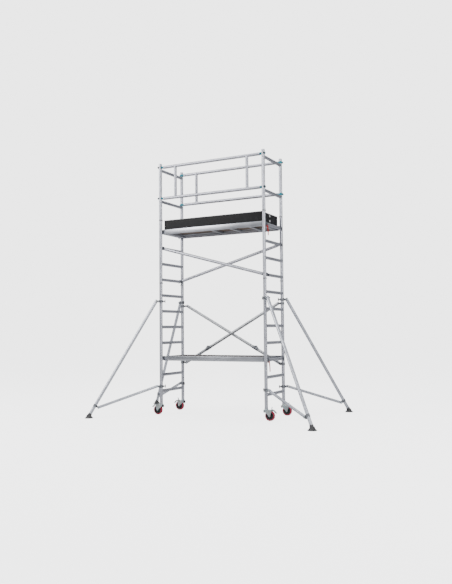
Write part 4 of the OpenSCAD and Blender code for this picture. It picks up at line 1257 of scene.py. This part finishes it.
def beam_profile():
    """Side beam's section as (y, z): a box with two shallow grooves on its outer face."""
    half = BEAM_W / 2
    depth = 0.0016
    floor = half - depth
    outer = [(half, -BEAM_BELOW)]
    for low, high in (
        (-BEAM_BELOW + 0.018, -BEAM_BELOW + 0.024),
        (BEAM_ABOVE - 0.026, BEAM_ABOVE - 0.020),
    ):
        outer += [(half, low), (floor, low + depth), (floor, high - depth), (half, high)]
    return outer + [(half, BEAM_ABOVE), (-half, BEAM_ABOVE), (-half, -BEAM_BELOW)]


def side_beam():
    """Beam along X with its grooved face towards +Y."""
    beam = slab(beam_profile(), 2 * PLATFORM_X, 0.0007)
    return turned(beam, "Z", -pi / 2)


def rivet_row(xs, y, z):
    """Domed heads in a row along X on a face towards +Y."""
    head = lathe([(0.0, 0.0016), (0.0022, 0.0014), (0.0042, 0.0), (0.0, 0.0)], 16, close=False)
    turned(head, "X", -pi / 2)
    return many(head, spots((x, y, z) for x in xs))


def end_bars(deck_y):
    """The two bars across a platform's ends."""
    low, high = -BEAM_BELOW + 0.006, BEAM_ABOVE
    size = (CROSS_BAR_W, 2 * deck_y, high - low)
    x = PLATFORM_X - CROSS_BAR_W / 2
    return [block(size, (s * x, 0, (low + high) / 2), 0.0012) for s in (-1, 1)]


def cross_bars(xs, deck_y, top):
    """Bars under a deck, each with a small plate at both ends."""
    bar_h = 0.030
    half, drop = 0.016, -0.024
    parts = []
    for x in xs:
        size = (CROSS_BAR_W, 2 * deck_y - 0.016, bar_h)
        parts.append(block(size, (x, 0, top - bar_h / 2), 0.0015))
        for s in (-1, 1):
            plate = slab([(-half, 0), (half, 0), (half, drop), (-half, drop)], 0.003, 0.0008)
            parts.append(moved(plate, (x, s * (deck_y - 0.0095), top - 0.002)))
    return parts


def hatch_trimmers(high, top):
    """Two bars along the hatch, from the end bar to the first cross bar."""
    low = CROSS_BAR_W - PLATFORM_X
    size = (high - low, 0.024, 0.020)
    return [
        block(size, ((high + low) / 2, s * TRIMMER_Y, top - size[2] / 2), 0.001) for s in (-1, 1)
    ]


def beam_rivets():
    """Rivets of the hooks' lugs in both ends of both beams."""
    xs = [s * (PLATFORM_X - inset) for s in (-1, 1) for inset in (0.012, 0.030)]
    y = PLATFORM_Y - 0.0001
    rows = []
    for level in (-0.020, 0.0345):
        rows.append(rivet_row(xs, y, level))
        rows.append(turned(rivet_row([-x for x in xs], y, level), "Z", pi))
    return fused(*rows)


def make_platform(name, n, bars, trimmed):
    deck_y = PLATFORM_Y - BEAM_W - CLEAR
    top = DECK_TOP - DECK_T - CLEAR
    beam = moved(side_beam(), (0, PLATFORM_Y - BEAM_W / 2, 0))
    parts = [many(beam, round_z(2)), *end_bars(deck_y), *cross_bars(bars, deck_y, top)]
    if trimmed:
        parts += hatch_trimmers(bars[0] - CROSS_BAR_W / 2, top)
    up = (0, 0, rung_z(n))
    beams = moved(fused(*parts), up)
    replaced = [f"{name}_platform_frame"]
    show(beams, f"{name}_platform_beams", "tower", PLATFORM_ALLOY, "platform_alloy", replaced)
    show(moved(beam_rivets(), up), f"{name}_platform_rivets", "tower", ZINC, "zinc_steel")
    finish_node(f"{name}_platform_deck", GRIP_BOARD)


def wind_lock_pins():
    """Pivot pins of the wind locks, each with a turned head."""
    pins = []
    for side, n in (("lower", LOWER_RUNG), ("upper", UPPER_RUNG)):
        low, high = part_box(f"wind_lock_{side}")
        pin = bar(0.0040, 0.017, (0, -0.0025, 0), "Y", 0.0005, 24)
        head = bar(0.0070, 0.0038, (0, 0.0070, 0), "Y", 0.0012, 28)
        middle = (WIND_LOCK_X, (low.y + high.y) / 2, rung_z(n) - WIND_LOCK_BELOW)
        pins.append(moved(fused(pin, head), middle))
    return pins


def make_hooks():
    """The hooks of both platforms, the diagonals' claws and the wind locks' pins."""
    beam_y = PLATFORM_Y - BEAM_W / 2
    places = [
        at_tube_end(sx, sy * beam_y, rung_z(n))
        for n in (LOWER_RUNG, UPPER_RUNG) for sx in (-1, 1) for sy in (-1, 1)
    ]
    slope = atan2((DIAGONAL_HIGH_RUNG - DIAGONAL_LOW_RUNG) * RUNG_PITCH, 2 * POST_X)
    hooks = fused(
        many(platform_hook(), places),
        many(rung_claw(slope), diagonal_ends(True)),
        many(rung_claw(-slope), diagonal_ends(False)),
        *wind_lock_pins(),
    )
    show(hooks, "hook_casting_set", "tower", HOOK_ALLOY, "hook_casting", ["rung_hooks"])


def deck_screws(name, n, points):
    """Screw heads on a deck's boards, each with a small recess."""
    z = rung_z(n) + DECK_TOP
    head = lathe(
        [(0.0, 0.0004), (0.0016, 0.0004), (0.0020, 0.0010), (0.0042, 0.0008), (0.0050, 0.0),
         (0.0, 0.0)],
        16, close=False,
    )
    screws = many(head, spots((x, y, z) for x, y in points))
    show(screws, f"{name}_deck_screws", "tower", ZINC, "zinc_steel")


def make_decks():
    """Screws along both edges of each deck, and four more over the lower deck's outer bars."""
    edge_y = PLATFORM_Y - BEAM_W - 0.014
    edges = [(0.158 * i, s * edge_y) for i in range(-5, 6) for s in (-1, 1)]
    over_bars = [(x, y) for x in (LOWER_BARS[0], LOWER_BARS[-1]) for y in (-0.1, 0.1)]
    deck_screws("lower", LOWER_RUNG, edges + over_bars)
    deck_screws("upper", UPPER_RUNG, edges)
    finish_node("trapdoor", GRIP_BOARD)


def make_trapdoor_fittings():
    """Rim of the finger hole and a pale alloy edge strip on the hatch door."""
    low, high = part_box("trapdoor")
    z = rung_z(UPPER_RUNG) + DECK_TOP
    centre_x = (low.x + high.x) / 2
    hole_y = low.y + 0.045
    rim_w, rim_t = 0.005, 0.002
    long_side = block((0.122, rim_w, rim_t), bevel=0.0006)
    short_side = block((rim_w, 0.040, rim_t), bevel=0.0006)
    rim = fused(
        many(long_side, spots((0, s * 0.0195, 0) for s in (-1, 1))),
        many(short_side, spots((s * 0.0575, 0, 0) for s in (-1, 1))),
    )
    moved(rim, (centre_x, hole_y, z + rim_t / 2))
    section = [(-0.0125, 0), (0.0125, 0), (0.0105, 0.0018), (-0.0105, 0.0018)]
    strip = slab(section, high.x - low.x - 0.02, 0.0005)
    turned(strip, "Z", pi / 2)
    moved(strip, (centre_x, low.y + 0.0135, z))
    show(fused(rim, strip), "hatch_door_trim", "hatch_door", PLATFORM_ALLOY, "platform_alloy")


# ---- Toe boards ----


def make_toe_boards():
    """The boards' film and an angle bracket inside each of their corners."""
    low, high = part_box("toe_boards")
    finish_node("toe_boards", TOE_FILM)
    leg, sheet, inset = 0.036, 0.0022, 0.015
    tall = (high.z - low.z) / 2
    bracket = fused(
        block((leg, sheet, tall), (-leg / 2, sheet / 2, 0), 0.0006),
        block((sheet, leg, tall), (-sheet / 2, leg / 2, 0), 0.0006),
    )
    places = []
    for sx in (-1, 1):
        for sy in (-1, 1):
            turn = pi if sy > 0 else 0
            flip = Matrix.Scale(-1, 4, (1, 0, 0)) if sx * sy > 0 else Matrix.Identity(4)
            corner = (sx * (high.x - inset), sy * (high.y - inset), (low.z + high.z) / 2)
            places.append(Matrix.Translation(corner) @ Matrix.Rotation(turn, 4, "Z") @ flip)
    brackets = tidy(many(bracket, places))
    show(brackets, "toe_board_brackets", "tower", ZINC, "zinc_steel")


def make_hinges():
    """Centre hinges of the folding end boards: two leaves, a knuckle and four screws each."""
    low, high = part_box("toe_boards")
    face = high.x + CLEAR
    leaf_t = 0.003
    leaf = block((leaf_t, 0.020, 0.030), (face + leaf_t / 2, 0, 0), 0.0010, 3)
    leaves = many(leaf, spots((0, s * 0.0120, 0) for s in (-1, 1)))
    knuckle = bar(0.0038, 0.033, (face + 0.0060, 0, 0), "Z", 0.0008, 24)
    screw = lathe([(0.0, 0.0008), (0.0022, 0.0006), (0.003, 0.0), (0.0, 0.0)], 14, close=False)
    turned(screw, "Y", pi / 2)
    moved(screw, (face + leaf_t, 0, 0))
    screws = many(screw, spots((0, s * 0.014, h) for s in (-1, 1) for h in (-0.009, 0.009)))
    hinge = fused(leaves, knuckle, screws)
    lifts = spots((0, 0, low.z + share * (high.z - low.z)) for share in (0.25, 0.75))
    hinges = many(hinge, [lift @ turn for turn in round_z(2) for lift in lifts])
    show(hinges, "end_board_hinges", "tower", WHITE_PLASTIC, "hinge_white", ["toe_board_hinges"])


# ---- Folding brace and wind locks: the CAD castings with softened edges ----


def softened(node, width):
    """A copy of a CAD node, merged, its flat faces made whole and its edges rounded."""
    obj = copy_at(frame["nodes"][node], Matrix.Identity(4))
    for key in [k for k in obj.keys() if k.startswith("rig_")]:
        del obj[key]
    obj.parent = None
    tidy(obj)
    edit(obj)
    bpy.ops.mesh.dissolve_limited(angle_limit=radians(1.0))
    bpy.ops.object.mode_set(mode="OBJECT")
    return round_edges(obj, width, 2, 40)


def make_brace():
    finish_node("brace_main_arms", BRACE_ALLOY)
    finish_node("brace_lower_arms", BRACE_ALLOY)
    collars = softened("brace_collars", 0.0012)
    show(collars, "brace_collar_set", "tower", CAST_ALLOY, "cast_fittings", ["brace_collars"])
    hinges = softened("brace_hinges", 0.0010)
    show(hinges, "brace_hinge_set", "tower", CAST_ALLOY, "cast_fittings", ["brace_hinges"])


def make_wind_locks():
    for side in ("lower", "upper"):
        node = f"wind_lock_{side}"
        lever = softened(node, 0.0016)
        show(lever, f"{side}_wind_lock_lever", f"{side}_wind_lock", RED_COAT, "red_lever", [node])


# ---- Stage ----

CAMERA_AT = (4.8843, -9.2004, 1.316)
CAMERA_YAW, CAMERA_PITCH, CAMERA_ROLL = 0.4802, 0.0566, -0.0095
LENS, SENSOR = 41.12, 36
LIT_POINT = (0, 0, 1.8)
FLOOR_GLOW = 3.2
BACKGROUND_GLOW = 3.6
SKY_STRENGTH = 0.75
# Each softbox: place, width in metres and power in watts
SOFTBOXES = {
    "key": ((-5.0, -6.5, 6.5), 4.0, 540),
    "fill": ((7.0, -4.0, 4.0), 4.0, 250),
    "top": ((0.0, 1.0, 8.5), 5.0, 300),
}


def make_floor():
    """A pale floor whose glow only the camera sees, so that it lights nothing."""
    deselect()
    bpy.ops.mesh.primitive_plane_add(size=60, location=(0, 0, -0.0005))
    floor = bpy.context.object
    floor.name = "floor"
    f = Finish("pale_floor", (0.62, 0.62, 0.625), 0.9)
    tone = f.noise(2.0, detail=2.0)
    f.colour(f.mix(tone, (0.60, 0.60, 0.605), (0.64, 0.64, 0.645)))
    floor.data.materials.append(f.material)
    glow = f.node("ShaderNodeEmission", {}, {"Color": (1, 1, 1, 1), "Strength": FLOOR_GLOW})
    dark = f.node("ShaderNodeEmission", {}, {"Strength": 0.0})
    to_camera = f.node("ShaderNodeLightPath").outputs["Is Camera Ray"]
    lift = f.node("ShaderNodeMixShader", {}, {0: to_camera, 1: dark.outputs[0], 2: glow.outputs[0]})
    both = f.node("ShaderNodeAddShader", {}, {0: f.shader.outputs[0], 1: lift.outputs[0]})
    f.plug(f.tree.nodes["Material Output"].inputs["Surface"], both.outputs[0])


def make_studio():
    """A soft light that is brighter from above, behind a plain background for the camera."""
    world = bpy.data.worlds.new("studio")
    bpy.context.scene.world = world
    sky = Nodes(world)
    where = sky.node("ShaderNodeTexCoord").outputs["Generated"]
    split = sky.node("ShaderNodeSeparateXYZ", {}, {0: where})
    height = Value(sky, split.outputs["Z"]) * 0.5 + 0.5
    stops = ((0.46, (0.16, 0.17, 0.18)), (0.80, (0.95, 0.97, 1.0)))
    ramp = sky.node("ShaderNodeValToRGB", {"stops": stops}, {0: height})
    light = sky.tree.nodes["Background"]
    sky.plug(light.inputs["Color"], ramp.outputs[0])
    sky.plug(light.inputs["Strength"], SKY_STRENGTH)
    plain = {"Color": (1, 1, 1, 1), "Strength": BACKGROUND_GLOW}
    seen = sky.node("ShaderNodeBackground", {}, plain)
    to_camera = sky.node("ShaderNodeLightPath").outputs["Is Camera Ray"]
    both = sky.node("ShaderNodeMixShader", {}, {0: to_camera, 1: light.outputs[0], 2: seen.outputs[0]})
    sky.plug(sky.tree.nodes["World Output"].inputs["Surface"], both.outputs[0])


def make_softboxes():
    for name, (place, size, power) in SOFTBOXES.items():
        deselect()
        bpy.ops.object.light_add(type="AREA", location=place)
        lamp = bpy.context.object
        lamp.name = name
        lamp.data.size = size
        lamp.data.energy = power
        aim = Vector(LIT_POINT) - Vector(place)
        lamp.rotation_euler = aim.to_track_quat("-Z", "Y").to_euler()


def make_camera():
    deselect()
    bpy.ops.object.camera_add(location=CAMERA_AT)
    camera = bpy.context.object
    level = Matrix.Rotation(CAMERA_YAW, 3, "Z") @ Matrix.Rotation(pi / 2 + CAMERA_PITCH, 3, "X")
    camera.rotation_euler = (level @ Matrix.Rotation(CAMERA_ROLL, 3, "Z")).to_euler()
    camera.data.lens = LENS
    camera.data.sensor_width = SENSOR
    bpy.context.scene.camera = camera


make_camera()
make_floor()
make_studio()
make_softboxes()
make_casters()
make_stabilisers()
make_frames()
make_clips()
make_claws()
make_rail_welds()
make_platform("lower", LOWER_RUNG, LOWER_BARS, trimmed=False)
make_platform("upper", UPPER_RUNG, UPPER_BARS, trimmed=True)
make_hooks()
make_decks()
make_trapdoor_fittings()
make_toe_boards()
make_hinges()
make_brace()
make_wind_locks()

deselect()
